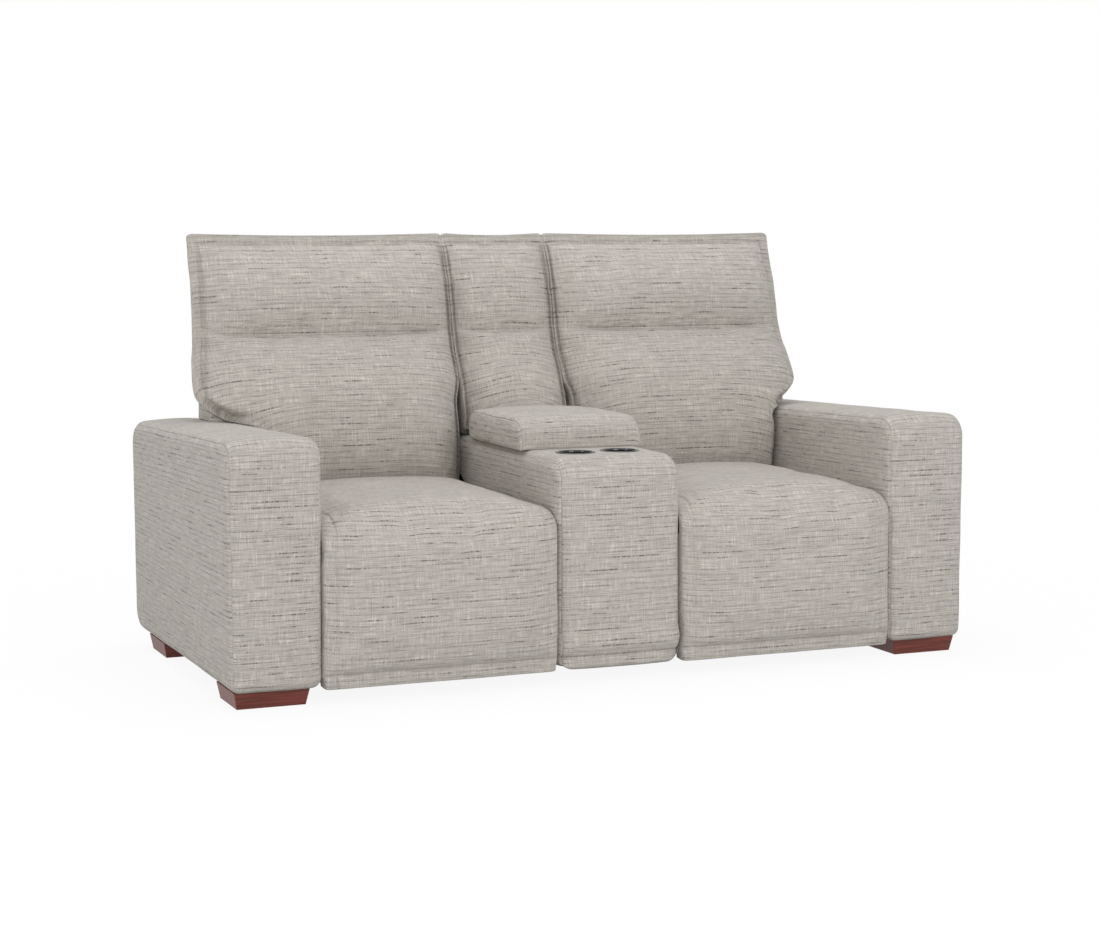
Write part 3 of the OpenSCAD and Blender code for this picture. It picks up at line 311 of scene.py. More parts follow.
def rounded(low, high, radii):
    """A rectangle with quarter circles at its corners: low first, then against the clock, with
    fifteen points to a corner."""
    (a0, b0), (a1, b1) = low, high
    corners = [(a0, b0, 1, 1, 180), (a1, b0, -1, 1, 270), (a1, b1, -1, -1, 0), (a0, b1, 1, -1, 90)]
    angle = np.radians(np.linspace(0, 90, 15))
    return np.vstack([np.stack([
        a + sa * r + r * np.cos(np.radians(turn) + angle),
        b + sb * r + r * np.sin(np.radians(turn) + angle)], 1)
        for (a, b, sa, sb, turn), r in zip(corners, radii)])


def fullness(top, front, facing_up=2.0):
    """How far a band swells by its normal: by top where it faces up and by front where it faces
    forward, the front only where the upward share of the normal is below facing_up."""
    return lambda normal: top * ramp(normal[:, 1]) + front * ramp(
        -normal[:, 0]) * (normal[:, 1] < facing_up)


def boxed(outline, x_range, edge, crown, puff, shape, count, hem=None):
    """An upholstered box. Its outline in Y and Z is carried along X; at each end it turns in on a
    quarter circle of radius edge, with the seam half way round, and closes over the side panel by
    shrinking to its middle. Crown swells the band by its normal, puff swells the panels."""
    line, normal, run = even_loop(outline, count, hem)
    middle = (line[:-1].max(0) + line[:-1].min(0)) / 2
    centre, half = sum(x_range) / 2, (x_range[1] - x_range[0]) / 2

    def corner(degrees):
        """The rounded edge at some angles: how far it is out from the centre and in from the
        outline. The seam lies in a groove at 45 degrees."""
        turn = np.radians(degrees)
        deep = edge - 0.0011 * np.exp(-((np.degrees(turn) - 45) / 3) ** 2)
        return half - edge + deep * np.sin(turn), edge - deep * np.cos(turn)

    out, inset = corner([0, 12, 24, 35, 41, 45])
    band_x = np.concatenate([-out[::-1], np.linspace(edge - half, half - edge, 26)[1:-1], out])
    inset = np.concatenate([inset[::-1], np.zeros(24), inset])
    swell = crown(normal)[:, None] * (1 - (band_x / half) ** 2)
    flat = line[:, None] + normal[:, None] * (swell - inset)[..., None]
    grid = np.dstack([np.broadcast_to(band_x + centre, flat.shape[:2]), flat])
    cloth = np.dstack(np.broadcast_arrays(band_x[None], run[:, None]))
    patches = [(grid, cloth, 0.0, 1.0)]
    out, inset = corner([45, 49, 55, 66, 78, 90])
    fill = np.concatenate([np.ones(6), np.linspace(1, 0, 13)[1:]])
    out = np.concatenate([out, half + puff * (1 - fill[6:] ** 2)])
    inset = np.concatenate([inset, np.full(12, edge)])
    ring = line[:, None] - normal[:, None] * inset[:, None]
    ring = middle + (ring - middle) * fill[:, None]
    for side in (-1, 1):
        x = np.broadcast_to(centre + side * out, ring.shape[:2])
        patches.append((np.dstack([x, ring]), ring + 3.0 * side, 0.0, 1.0))
    return [(shape(grid), *rest) for grid, *rest in patches]


sides = (("left", -1), ("right", 1))
front_y, arm_inner, arm_outer, arm_half = -0.496, 0.7685, 1.0, 0.11575
arm_taper, arm_fall = 0.009, 0.027


def arm_shape(grid, middle, seed):
    """Draws the outer side in towards the floor in proportion to the drop, crowns the top, lets it
    fall towards the rear, and adds lumps."""
    x, y, z = np.moveaxis(grid, -1, 0)
    outward, aside = np.sign(middle), (x - middle) / arm_half
    drop = ramp((0.587 - z) / 0.525)
    rear = ramp((y + 0.42) / 0.92) * ramp((z - 0.20) / 0.40)
    crown = 0.004 * (1 - aside ** 2) * (z > 0.6)
    x = x - arm_taper * drop * outward * ramp(aside * outward)
    moved = np.dstack([x, y, z - arm_fall * rear + crown])
    away = moved - np.array([middle, 0.0, 0.33])
    away /= np.maximum(np.linalg.norm(away, axis=-1, keepdims=True), 1e-6)
    return moved + away * (0.0012 * lumps(moved, 0.16, seed))[..., None]


arm_outline = rounded((front_y, 0.0403), (0.504, 0.625), (0.022, 0.06, 0.06, 0.054))
for side, body_x, seed in (("left", (-arm_outer, -arm_inner), 3),
                           ("right", (arm_inner, arm_outer), 4)):
    arm = closed_mesh(f"{side}_arm_cover", boxed(
        arm_outline, body_x, edge=0.025, crown=fullness(0.004, 0.003), puff=0.003,
        shape=lambda grid: arm_shape(grid, sum(body_x) / 2, seed), count=420), sofa_cloth)
    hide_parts(f"{side}_arm")
    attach(arm, "root")


# Block feet: solid mahogany, cut as low pyramids that flare out to the arm, stained red-brown and
# lacquered. They are screwed up into the arm boxes.
wood = Finish("mahogany", Base_Color=(0.14, 0.032, 0.021), Roughness=0.42, Coat_Weight=0.10,
              Coat_Roughness=0.30, Specular_IOR_Level=0.30)
grain = wood.noise("object", (9, 140, 150), 4.0)
cloudy = wood.noise("object", (5, 8, 12), seed=3.0)
streaks = wood.mix((0.098, 0.02, 0.013), (0.19, 0.043, 0.028), wood.ease(grain, 0.34, 0.66))
wood.set(Base_Color=wood.mix(streaks, (0.11, 0.024, 0.016), wood.ease(cloudy, 0.45, 0.75) * 0.5),
         Roughness=0.36 + grain * 0.16)
wood.bump(grain, 0.0004, 0.5)


def dress(names, material, width=0.0):
    """Gives CAD nodes their finish, and where a width is given, welds and rounds their edges."""
    for name in names:
        node = nodes[name]
        for slot in node.material_slots:
            slot.material = material
        if width:
            weld = node.modifiers.new("weld", "WELD")
            weld.merge_threshold = 1e-5
            ease = node.modifiers.new("edge", "BEVEL")
            ease.width, ease.segments, ease.limit_method = width, 2, "ANGLE"
            ease.angle_limit = math.radians(40)
            ease.harden_normals = True


dress(["block_feet"], wood.material, 0.0022)


# Console: a padded plywood box between the seats, covered in the same tweed. Its front rolls over
# into the deck, and a flat hem strip is sewn on along the bottom of the front.
console_half, deck_z, hem_z, hem_seam_z = 0.1675, 0.555, 0.036, 0.067


def hemmed(x, z, half, inset):
    """Draws the ends of a hem strip in towards its bottom by an inset, from 45 mm up, and lifts
    its lower corners by 2 mm on a quarter circle."""
    low = ramp((hem_z + 0.045 - z) / 0.045)
    lift = 0.002 * (1 - bulge((half - np.abs(x)) / 0.006))
    share = ramp((hem_seam_z - z) / (hem_seam_z - hem_z))
    return x * (1 - inset / half * low ** 1.5), z + lift * share


def console_shape(grid):
    """Sets the hem strip back below its seam, puffs the cover just above it, and adds lumps."""
    x, y, z = np.moveaxis(grid, -1, 0)
    front, above = ramp((-0.40 - y) / 0.04), z - hem_seam_z
    hem_x, lifted_z = hemmed(x, z, console_half, 0.008)
    back = 0.005 / (1 + np.exp(above / 0.001)) + 0.0055 * np.exp(-(above / 0.0034) ** 2)
    back -= 0.011 * np.exp(-((above - 0.032) / 0.022) ** 2) * ramp(above / 0.008)
    y = y + front * (back + 0.0016 * lumps(grid, 0.15, 8))
    return np.dstack([x + front * (hem_x - x), y, z + front * (lifted_z - z)])


def applied(piece):
    """Makes what a piece's modifiers give its mesh."""
    finished = bpy.data.meshes.new_from_object(
        piece.evaluated_get(bpy.context.evaluated_depsgraph_get()))
    piece.modifiers.clear()
    piece.data = finished
    return finished


def cut(piece, *cutters):
    """Takes cutters out of a mesh. Each has its lowest and highest corner and is an upright prism
    of so many sides, or a box where that is 0."""
    for low, high, sides in cutters:
        form = bmesh.new()
        size = [h - l for l, h in zip(low, high)]
        if sides:
            bmesh.ops.create_cone(
                form, cap_ends=True, segments=sides, radius1=0.5, radius2=0.5, depth=1)
        else:
            bmesh.ops.create_cube(form, size=1)
        bmesh.ops.scale(form, vec=size, verts=form.verts)
        bmesh.ops.translate(form, vec=[(h + l) / 2 for l, h in zip(low, high)], verts=form.verts)
        tool = placed("cutter", bpy.data.meshes.new("cutter"))
        form.to_mesh(tool.data)
        form.free()
        hole = piece.modifiers.new("hole", "BOOLEAN")
        hole.operation, hole.solver, hole.object = "DIFFERENCE", "EXACT", tool
        applied(piece)
        bpy.data.objects.remove(tool)


outline_starts = 0.042
console = closed_mesh("console_cover", boxed(
    rounded((front_y, hem_z), (0.366, deck_z), (0.006, 0.01, 0.01, 0.062)),
    (-console_half, console_half), edge=0.033, crown=fullness(0.0012, 0.0055, 0.8), puff=0.0,
    shape=console_shape, count=400, hem=hem_seam_z - outline_starts), sofa_cloth)
cup_x, cup_y, cup_hole, clear_z = 0.061, -0.35, 0.0438, 0.7
cut(console,
    *[((x - cup_hole, cup_y - cup_hole, deck_z - 0.073),
       (x + cup_hole, cup_y + cup_hole, clear_z), 64) for x in (-cup_x, cup_x)],
    ((-0.1138, -0.2023, deck_z - 0.241), (0.1138, 0.0683, clear_z), 0),
    ((-0.1258, -0.2143, deck_z - 0.0026), (0.1258, 0.0803, clear_z), 0))
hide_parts("console_shell")
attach(console, "root")


# Storage bin: a vacuum formed liner of grained black plastic that hangs by its flange in the deck.
# The glides under the console are moulded in the same plastic.
plastic = Finish("grained_plastic", Base_Color=(0.022, 0.022, 0.023), Roughness=0.5)
pebble = plastic.noise("object", (900, 900, 900))
plastic.set(Base_Color=plastic.mix((0.016, 0.016, 0.017), (0.034, 0.033, 0.033), pebble),
            Roughness=0.42 + pebble * 0.2)
plastic.bump(pebble, 0.0003, 0.5)
dress(["storage_bin", "support_glides"], plastic.material, 0.0009)


# Cup holders: glossy black moulded wells with a rolled rim that sits on the deck. Each drops into
# its hole in the console and rests on the rim.
gloss = Finish("gloss_black", Base_Color=(0.008, 0.008, 0.009), Roughness=0.12, Coat_Weight=0.5)
swirl = gloss.noise("object", (60, 60, 60), 3.0)
gloss.set(Roughness=0.08 + swirl * 0.1)


def turned(name, profile, centre, sides, material):
    """A closed solid of revolution: a profile of radius and height carried round an upright
    axis."""
    radius, height = np.array(profile, float).T
    angle = np.linspace(0, 2 * np.pi, sides + 1)
    grid = np.dstack([
        centre[0] + np.outer(radius, np.cos(angle)), centre[1] + np.outer(radius, np.sin(angle)),
        np.broadcast_to(centre[2] + height[:, None], (len(radius), sides + 1))])
    cloth = np.dstack(np.broadcast_arrays(angle[None] * 0.04, height[:, None]))
    return closed_mesh(name, [(grid, cloth, 0.0, 1.0)], material)


cup_profile = [
    (0, -0.072), (0.036, -0.072), (0.0405, -0.0707), (0.043, -0.0675), (0.0435, -0.063),
    (0.0435, -0.004), (0.0435, 0.0), (0.047, 0.0001), (0.0497, 0.0002), (0.0503, 0.0008),
    (0.0505, 0.0015), (0.05, 0.0022), (0.049, 0.0027), (0.0474, 0.003), (0.045, 0.0031),
    (0.043, 0.0029), (0.042, 0.0024), (0.0414, 0.0015), (0.0411, 0.0), (0.041, -0.006),
    (0.041, -0.03), (0.041, -0.059), (0.0404, -0.0645), (0.0385, -0.068), (0.035, -0.0694),
    (0.02, -0.0695), (0.0185, -0.0688), (0.0165, -0.0688), (0.015, -0.0695), (0, -0.0695)]
for side, x in (("left", -cup_x), ("right", cup_x)):
    cup = turned(f"{side}_cup_well", cup_profile, (x, cup_y, deck_z), 96, gloss.material)
    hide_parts(f"{side}_cup_holder")
    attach(cup, "root")


# Console lid: foam on a plywood board, the crowned top panel sewn to a boxing strip all round.
# Two steel arms under its rear end carry it on pins between the brackets on the deck.
lid_half, lid_arm_x = 0.167, 0.1335
front_end = rounded((-0.2445, 0.5557), (0.10, 0.6335), (0.003, 0.006, 0.0, 0.044))
rear_turn = np.radians(np.linspace(-80, 90, 30))
rear_end = np.stack([0.104 + 0.0395 * np.cos(rear_turn), 0.595 + 0.0385 * np.sin(rear_turn)], 1)
lid_outline = np.vstack([front_end[:15], rear_end, front_end[45:]])


def lid_shape(grid):
    """Crowns the top along its length as a flat fourth power, lets the cover's lower edge hang
    square over the board, widens it a little forward of the backs, and adds lumps."""
    x, y, z = np.moveaxis(grid, -1, 0)
    along, clear = ramp((y + 0.24) / 0.38) * 2 - 1, ramp((0.09 - y) / 0.06)
    top, low = ramp((z - 0.60) / 0.03), ramp((0.615 - z) / 0.036)
    side = 1 - bulge((lid_half - np.abs(x)) / 0.022)
    z = z - top * 0.004 * along ** 4 + top * 0.0014 * lumps(grid, 0.12, 21)
    z = np.maximum(z - 0.022 * side * low, 0.5556)
    y = y - (0.003 + 0.019 * side) * low * ramp((-0.20 - y) / 0.03)
    return np.dstack([x * (1 + 0.021 * clear), y, z])


lid = closed_mesh("lid_cover", boxed(
    lid_outline, (-lid_half, lid_half), edge=0.022, crown=fullness(0.007, 0.003), puff=0.003,
    shape=lid_shape, count=300), sofa_cloth)
cut(lid, *[((x - 0.0125, 0.047, 0.54), (x + 0.0125, 0.16, 0.6052), 0)
           for x in (-lid_arm_x, lid_arm_x)])
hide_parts("lid_pad")
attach(lid, "lid")


# Seat covers: tweed over foam, one panel a side from the rear of the seat over the front edge and
# down to the hem. A seam 30 mm in from each side joins its
# boxing, and the cover is stapled under the frame.
bay_in, bay_out, seat_seam_in = console_half, arm_inner, 0.03
bay_x = (bay_in + bay_out) / 2
seat_half = (bay_out - bay_in) / 2 - 0.002
rear_y, front_height = 0.138, 0.344
front_share, knee_share = 0.300, 0.44
front_crown = [(0, 0.001), (0.12, 0.002), (0.3, 0.0045), (0.5, 0.006), (0.7, 0.0056),
               (0.85, 0.0035), (1, 0)]
front_puff = [(0, 0.002), (0.08, 0.002), (0.09, 0.0000), (0.105, 0.005), (0.125, 0.0096),
              (0.15, 0.0132), (0.185, 0.0156), (0.23, 0.0156), (0.32, 0.0128), (0.5, 0.0096),
              (0.8, 0.008), (1, 0.008)]


def chaise_outer(u, v):
    """The upper face at each share u across and v along. The first part rises up the front, set
    back or swollen by its tables; then a quarter circle turns over the knee; the rest runs back on
    top, with its height crowned across and rolled off at the sides."""
    x = seat_half * u
    side = bulge((seat_half - np.abs(x)) / 0.055)
    crown = 1 - u ** 2
    knee_roll = 0.05 + 0.036 * side

    def top(y):
        run = ramp((y - front_y) / 0.63)
        tail = ramp(1 - (rear_y - y) / 0.10) ** 2
        return 0.438 + 0.004 * run - 0.018 * (1 - side) + 0.016 * crown * (
            1 - 0.75 * tail) * bulge(0.55 + run * 3)

    def front(z):
        share = ramp((z - hem_z) / front_height)
        corner = 0.006 * (1 - bulge((seat_half - np.abs(x)) / 0.018))
        return corner + front_y - eased(front_crown, share, 0.03) * (1 - u ** 4) - eased(
            front_puff, share, 0.0035) * (1 - np.abs(u) ** 14)

    knee_z = top(front_y + knee_roll) - knee_roll
    rise = hem_z + (knee_z - hem_z) * ramp(v / front_share)
    turn = ramp((v - front_share) / (knee_share - front_share)) * np.pi / 2
    start = front(knee_z)
    back = start + knee_roll + (rear_y - start - knee_roll) * ramp(
        (v - knee_share) / (1 - knee_share))
    y = np.where(v <= front_share, front(rise), start + knee_roll * (1 - np.cos(turn)))
    z = np.where(v <= front_share, rise, knee_z + knee_roll * np.sin(turn))
    on_top = v > knee_share
    return x, np.where(on_top, back, y), np.where(on_top, top(back), z)


chaise_under = [
    (0, -0.452, hem_z), (0.29, -0.452, 0.33), (0.31, -0.477, 0.34), (0.36, -0.478, 0.398),
    (0.375, -0.474, 0.4075), (0.42, -0.441, 0.4075), (0.435, -0.43, 0.393),
    (0.445, -0.427, 0.3755), (1, rear_y, 0.3755)]


def walled(outer, inner, outer_cloth, steps, swell, outer_held, outer_seam):
    """A closed pad from its two faces: the same border of each is joined by a wall whose points
    run straight across and swell outwards by a parabola."""
    patches = [(outer, outer_cloth, outer_held, outer_seam), (inner, outer_cloth + 5.0, 1.0, 1.0)]
    across = np.linspace(0, 1, steps + 1)[:, None, None]
    every = slice(None)
    for border, next_to in (((every, 0), (every, 2)), ((every, -1), (every, -3)),
                            ((0, every), (2, every)), ((-1, every), (-3, every))):
        a, b = outer[border], inner[border]
        out = a - outer[next_to] + b - inner[next_to]
        out /= np.maximum(np.linalg.norm(out, axis=-1, keepdims=True), 1e-9)
        ends = np.ones(len(a))
        ends[[0, -1]] = 0
        wall = a * (1 - across) + b * across + out * (
            ends[:, None] * swell * 4 * across * (1 - across))
        deep = np.linalg.norm(b - a, axis=-1)
        cloth = outer_cloth[border][None] + np.dstack(
            np.broadcast_arrays(0.0 * deep[None], across[..., 0] * deep)) + 7.0
        patches.append((wall, cloth, 1.0, 1.0))
    return patches


def read(rows, key, width=1):
    """The values of a mesh's points as an array, a row to a point where the width is above 1."""
    values = np.zeros(len(rows) * width)
    rows.foreach_get(key, values)
    return values.reshape(-1, width) if width > 1 else values


def settled(piece, cap):
    """Lets the cover swell as cloth under pressure from the foam, held at its seams and underside.
    No point moves farther than the cap."""
    start = read(piece.data.vertices, "co", 3)
    held = np.round(read(piece.data.attributes["held"].data, "value"), 1)
    pins = piece.vertex_groups.new(name="held")
    for weight in np.unique(held):
        pins.add(np.flatnonzero(held == weight).tolist(), float(weight), "REPLACE")
    fabric = piece.modifiers.new("cloth", "CLOTH").settings
    for key, value in {
            "quality": 5, "mass": 0.35, "tension_stiffness": 12, "compression_stiffness": 12,
            "shear_stiffness": 5, "bending_stiffness": 1.0, "shrink_min": -0.015,
            "use_pressure": True, "uniform_pressure_force": 4,
            "vertex_group_mass": "held"}.items():
        setattr(fabric, key, value)
    fabric.effector_weights.gravity = 0
    for step in range(1, 21):
        bpy.context.scene.frame_set(step)
    grown = piece.evaluated_get(bpy.context.evaluated_depsgraph_get()).data
    move = read(grown.vertices, "co", 3) - start
    size = np.linalg.norm(move, axis=1, keepdims=True)
    move *= np.minimum(1, cap / np.maximum(size, 1e-9))
    piece.modifiers.clear()
    piece.vertex_groups.clear()
    piece.data.vertices.foreach_set("co", (start + move).ravel())
    bpy.context.scene.frame_set(1)


def finely(piece, groove, width):
    """One subdivision, then the seams are drawn in: each point near a seam moves in along its
    normal by a bell of the distance to it."""
    piece.modifiers.new("smooth", "SUBSURF").levels = 1
    finished = applied(piece)
    points, seam = finished.vertices, read(finished.attributes["seam"].data, "value")
    deep = groove * np.exp(-(seam / width) ** 2)
    moved = read(points, "co", 3) - read(points, "normal", 3) * deep[:, None]
    points.foreach_set("co", moved.ravel())
    finished.update()


for side, hand in sides:
    u = graded(2 * seat_half, [0.0, seat_seam_in, 2 * seat_half - seat_seam_in, 2 * seat_half],
               fine=0.0026, coarse=0.0095, reach=0.01)
    v = graded(1.0, [0.0, front_share * (hem_seam_z - hem_z) / front_height],
               fine=0.0022, coarse=0.0088, reach=0.016)
    uu, vv = np.meshgrid(u / seat_half - 1, v)
    outer = np.dstack(chaise_outer(uu, vv))
    seam_at = seat_half - seat_seam_in - np.abs(outer[..., 0])
    up = np.cross(np.gradient(outer, axis=0), np.gradient(outer, axis=1))
    up /= np.linalg.norm(up, axis=-1, keepdims=True)
    up *= np.sign(up[..., 2:3] * 0.5 - up[..., 1:2] + 1e-9)
    pucker = lumps(outer + hand, 0.034, 35) * np.exp(-np.abs(seam_at) / 0.016) * (
        0.35 + np.exp(-((vv - 0.40) / 0.09) ** 2))
    hollows = lumps(outer + hand, 0.17, 31) * (1 - vv ** 8)
    outer += up * (0.0022 * hollows + 0.0011 * pucker)[..., None]
    on_front = vv < front_share
    x, z = hemmed(outer[..., 0], outer[..., 2], seat_half, 0.005)
    outer[..., 0] = np.where(on_front, x, outer[..., 0])
    outer[..., 2] = np.where(on_front, z, outer[..., 2])
    share, under_y, under_z = np.array(chaise_under).T
    inner = np.dstack(
        [outer[..., 0], np.interp(vv, share, under_y), np.interp(vv, share, under_z)])
    near_knee = (vv > 0.30) & (np.abs(uu) > 0.72)
    inner[..., 2] = np.where(
        near_knee, np.minimum(inner[..., 2], outer[..., 2] - 0.012), inner[..., 2])
    for grid in (outer, inner):
        grid[..., 0] += hand * bay_x
    run = np.concatenate([np.zeros((1, len(u))), np.cumsum(np.linalg.norm(
        np.diff(outer, axis=0), axis=-1), axis=0)])
    hold = ramp(1.2 - seam_at / 0.02)
    hold = np.maximum(hold, ramp(1 - (vv - 0.05) / 0.03))
    hold = np.maximum(hold, ramp(1 - (0.985 - vv) / 0.02))
    seam_at = np.where(on_front, np.minimum(np.abs(seam_at), np.abs(z - hem_seam_z)), seam_at)
    cover = closed_mesh(f"{side}_seat_cover", walled(
        outer, inner, np.dstack([outer[..., 0], run]), 6, 0.0035, hold, seam_at), sofa_cloth)
    settled(cover, cap=0.012)
    finely(cover, groove=0.0032, width=0.0034)
    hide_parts(f"{side}_seat_cushion", f"{side}_footrest_pad")
    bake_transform(cover)


# Back cushions: a lumbar roll and a head cushion in one cover, divided by a sewn channel, with a
# flat sewn flange round the top and sides. The outer side reaches over the arm as a wing.
# Tables give the share of the height first, from 0 at the bottom to 1 at the top.
back_low, back_top, spine_low, back_lean, crease_share = 0.37, 1.104, 0.204, 0.182, 0.64
lip_wide, flange_wide, top_flange = 0.0095, 0.026, 0.0245
spine = [(0, 0), (0.26, 0), (0.353, 0.09), (0.415, 0.17), (0.467, 0.275), (0.572, 0.52),
         (0.681, 0.632), (0.817, 0.753), (0.906, 0.89), (1, 1)]
crown_table = [
    (0, .16), (.012, .28), (.03, .42), (.06, .56), (.085, .70), (.11, .79), (.18, .87),
    (.26, .90), (.353, .95), (.436, 1), (.49, 1), (.54, .975), (.585, .93), (.612, .88),
    (.628, .81), (.636, .70), (.64, .54), (.644, .57), (.655, .665), (.672, .75), (.70, .80),
    (.735, .80), (.79, .73), (.86, .59), (.91, .43), (.945, .27), (.958, .14), (.965, 0), (1, 0)]
wing_table = [(0, 0), (.314, 0), (.326, .24), (.34, .44), (.372, .74), (.402, .93), (.425, 1),
              (.46, 1.01), (.54, .96), (.585, .90), (.681, .87), (.817, .86), (1, .86)]
roll_table = [(0, .5), (.3, .7), (.42, 1), (1, 1)]
bend_table = [(0, .3), (.2, .8), (.4, 1), (.5, .9), (.6, .35), (.64, .1), (.66, .2), (1, .2)]


def spine_y(share):
    """The flange's line: the back's lean times its eased table."""
    return spine_low + back_lean * eased(spine, share, 0.012)


def far_from(x, z, line):
    """The shortest distance from each point to a line of straight runs, in the plane of the
    back."""
    best = np.full(x.shape, 9.0)
    for (x0, z0), (x1, z1) in zip(line[:-1], line[1:]):
        long = max((x1 - x0) ** 2 + (z1 - z0) ** 2, 1e-12)
        t = ramp(((x - x0) * (x1 - x0) + (z - z0) * (z1 - z0)) / long)
        best = np.minimum(best, np.hypot(x - x0 - t * (x1 - x0), z - z0 - t * (z1 - z0)))
    return best


def side_rise(inside, width, step):
    """How far the cushion stands out at each distance inside a side seam, from 0 to 1: a steep
    step in the first 12 mm, then a parabola over the width."""
    far = ramp(inside / width)
    return step * bulge(inside / 0.012) + (1 - step) * far * (2 - far)


def back_pad(name, edges, flanges, lips, shares, full, cap, seed):
    """A back cushion between two edge lines. The front stands off the flange's line by the crown
    table times the rise from the sides. The flange stays thin, and waves; where it meets a
    neighbour it is folded forward into a rounded lip, a bell of the distance to the edge."""
    height = back_top - back_low
    span = edges[1][-1] - edges[0][-1]
    seams = [lip_wide if lips[0] else flange_wide, span - (lip_wide if lips[1] else flange_wide)]
    c = graded(span, seams + [0.0, span], fine=0.0022, coarse=0.0105, reach=0.014) / span
    corner = 0.012 * (1 - bulge((1 - shares) * height / 0.012))
    low, high = edges[0] + corner, edges[1] - corner
    x = low[:, None] + (high - low)[:, None] * c
    share = np.broadcast_to(shares[:, None], x.shape)
    z = back_low + share * height
    y = spine_y(share)
    spots = np.dstack([x, y, z])
    below_top = back_top - z
    depth = 0.106 * full * eased(crown_table, shares, 0.0036)[:, None]
    roll = 0.092 * full * eased(roll_table, shares, 0.01)[:, None]
    body, sides, forward = np.ones(x.shape), np.full(x.shape, 9.0), 0
    stitched = below_top - top_flange
    for edge, flange, lip in zip(edges, flanges, lips):
        line, wide = np.stack([edge, z[:, 0]], 1), flange[:, None]
        if lip:
            beside = far_from(x, z, line[::2])
            at_edge = beside - wide
            body = np.minimum(body, side_rise(at_edge, 1.35 * roll, 0.22))
            upright = ramp((below_top - 0.022) / 0.03) * ramp((z - 0.41) / 0.05)
            fold = 0.021 + 0.004 * lumps(spots, 0.09, seed + 7)
            forward = forward + upright * fold * np.exp(-((beside - 0.0034) / 0.0036) ** 2)
        else:
            foot, corner_at = (int(np.searchsorted(shares, at)) for at in (0.332, 0.425))
            side = far_from(x, z, line[corner_at:][::2])
            slant = far_from(x, z, line[foot:corner_at + 1])
            under = far_from(x, z, line[:foot + 1])
            at_edge = np.minimum.reduce([side - wide, slant - 0.7 * wide, under])
            beside = np.minimum.reduce([side, slant, under])
            body = np.minimum.reduce([
                body, side_rise(side - wide, 1.9 * roll, 0.30),
                bulge((slant - 0.7 * wide) / 0.045), bulge(under / 0.02)])
        stitched = np.minimum(stitched, np.where(wide > 0.004, at_edge, 1.0))
        sides = np.minimum(sides, beside)
    rim = ramp(1 - (stitched + 0.003) / 0.008)
    wave = rim * 0.0032 * lumps(spots, 0.12, seed) * ramp((sides + 0.01) / 0.02)
    folds = np.exp(-((share - crease_share) * height / 0.026) ** 2) * body * 0.0006 * lumps(
        spots, 0.045, seed + 3)
    near = np.exp(-ramp(stitched) / 0.014) * (1 - rim)
    ruck = 0.0013 * near * lumps(spots, 0.036, seed + 5)
    front = y - 0.003 - depth * body - wave - forward + folds + ruck
    front -= (1 - rim) * body * 0.0042 * lumps(spots, 0.19, seed + 1)
    sag = 0.006 * np.sin(np.pi * c) * ramp(1 - below_top / 0.25) ** 2
    sag = sag + 0.0095 * body * np.exp(-((share - 0.663) / 0.019) ** 2)
    ripple = rim * 0.001 * lumps(spots, 0.07, seed + 9) * (1 - 2 * c) ** 4
    outer = np.dstack([x + ripple, front, z - sag])
    inner = np.dstack([x + ripple, y + 0.01 - wave * 0.8, z - sag])
    bent = 0.055 * np.interp(share, *np.array(bend_table).T) * bulge(sides / 0.19)
    crease = np.abs(share - crease_share) * height
    hold = ramp(1 - (stitched - 0.004) / 0.02)
    hold = np.maximum(hold, 0.9 * (crease < 0.005) * (body > 0.6))
    hold = np.maximum(hold, ramp(1 - share / 0.12))
    crease = crease + 0.02 * (1 - bulge((sides - 0.045) / 0.09))
    piece = closed_mesh(name, walled(
        outer, inner, np.dstack([x, z - bent]), 4, 0.0015, hold,
        np.minimum(np.abs(stitched), crease)), sofa_cloth)
    settled(piece, cap)
    finely(piece, groove=0.0034, width=0.003)
    return piece


centre_half, wing_reach = 0.1524, 0.123
rows = graded(1.0, [0.335, crease_share, 1 - top_flange / (back_top - back_low), 1.0],
              fine=0.0032, coarse=0.0125, reach=0.02)
wing = eased(wing_table, rows, 0.008)
step_in = eased([(0, 0), (0.385, 0), (0.45, 1), (1, 1)], rows, 0.012)
for side, hand in sides:
    x_in = bay_in + 0.002 - step_in * (0.002 + bay_in - centre_half - 0.0005)
    x_out = bay_out - 0.002 + wing * wing_reach
    edges, lips = [x_in, x_out], [True, False]
    flanges = [lip_wide * np.ones(len(rows)), flange_wide * np.minimum(1, wing * 2)]
    if hand < 0:
        edges, flanges, lips = [-x_out, -x_in], flanges[::-1], lips[::-1]
    cushion = back_pad(f"{side}_back_cover", edges, flanges, lips, rows,
                       full=1.0, cap=0.012, seed=41 + hand)
    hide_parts(f"{side}_back_cushion")
    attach(cushion, f"{side}_back")


# Centre back: a narrow fixed cushion above the console, made like its neighbours, with its flanges
# meeting theirs. It is screwed to the console's rear.
centre_rows = rows[rows > 0.263]
level = np.ones(len(centre_rows))
centre = back_pad("centre_back_cover", [-centre_half * level, centre_half * level],
                  [lip_wide * level] * 2, [True, True], centre_rows, full=0.62, cap=0.01, seed=57)
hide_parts("centre_back_cushion")
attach(centre, "root")


# Outside backs: hardboard and wadding over the frames, covered in tweed, each a shallow box behind
# its cushion. Their tweed is painted a little darker as shade. A flap of the outside back hangs on
# down to hide the mechanism.
foot_y, waist_y, shell_top_y = 0.366, 0.372, 0.458


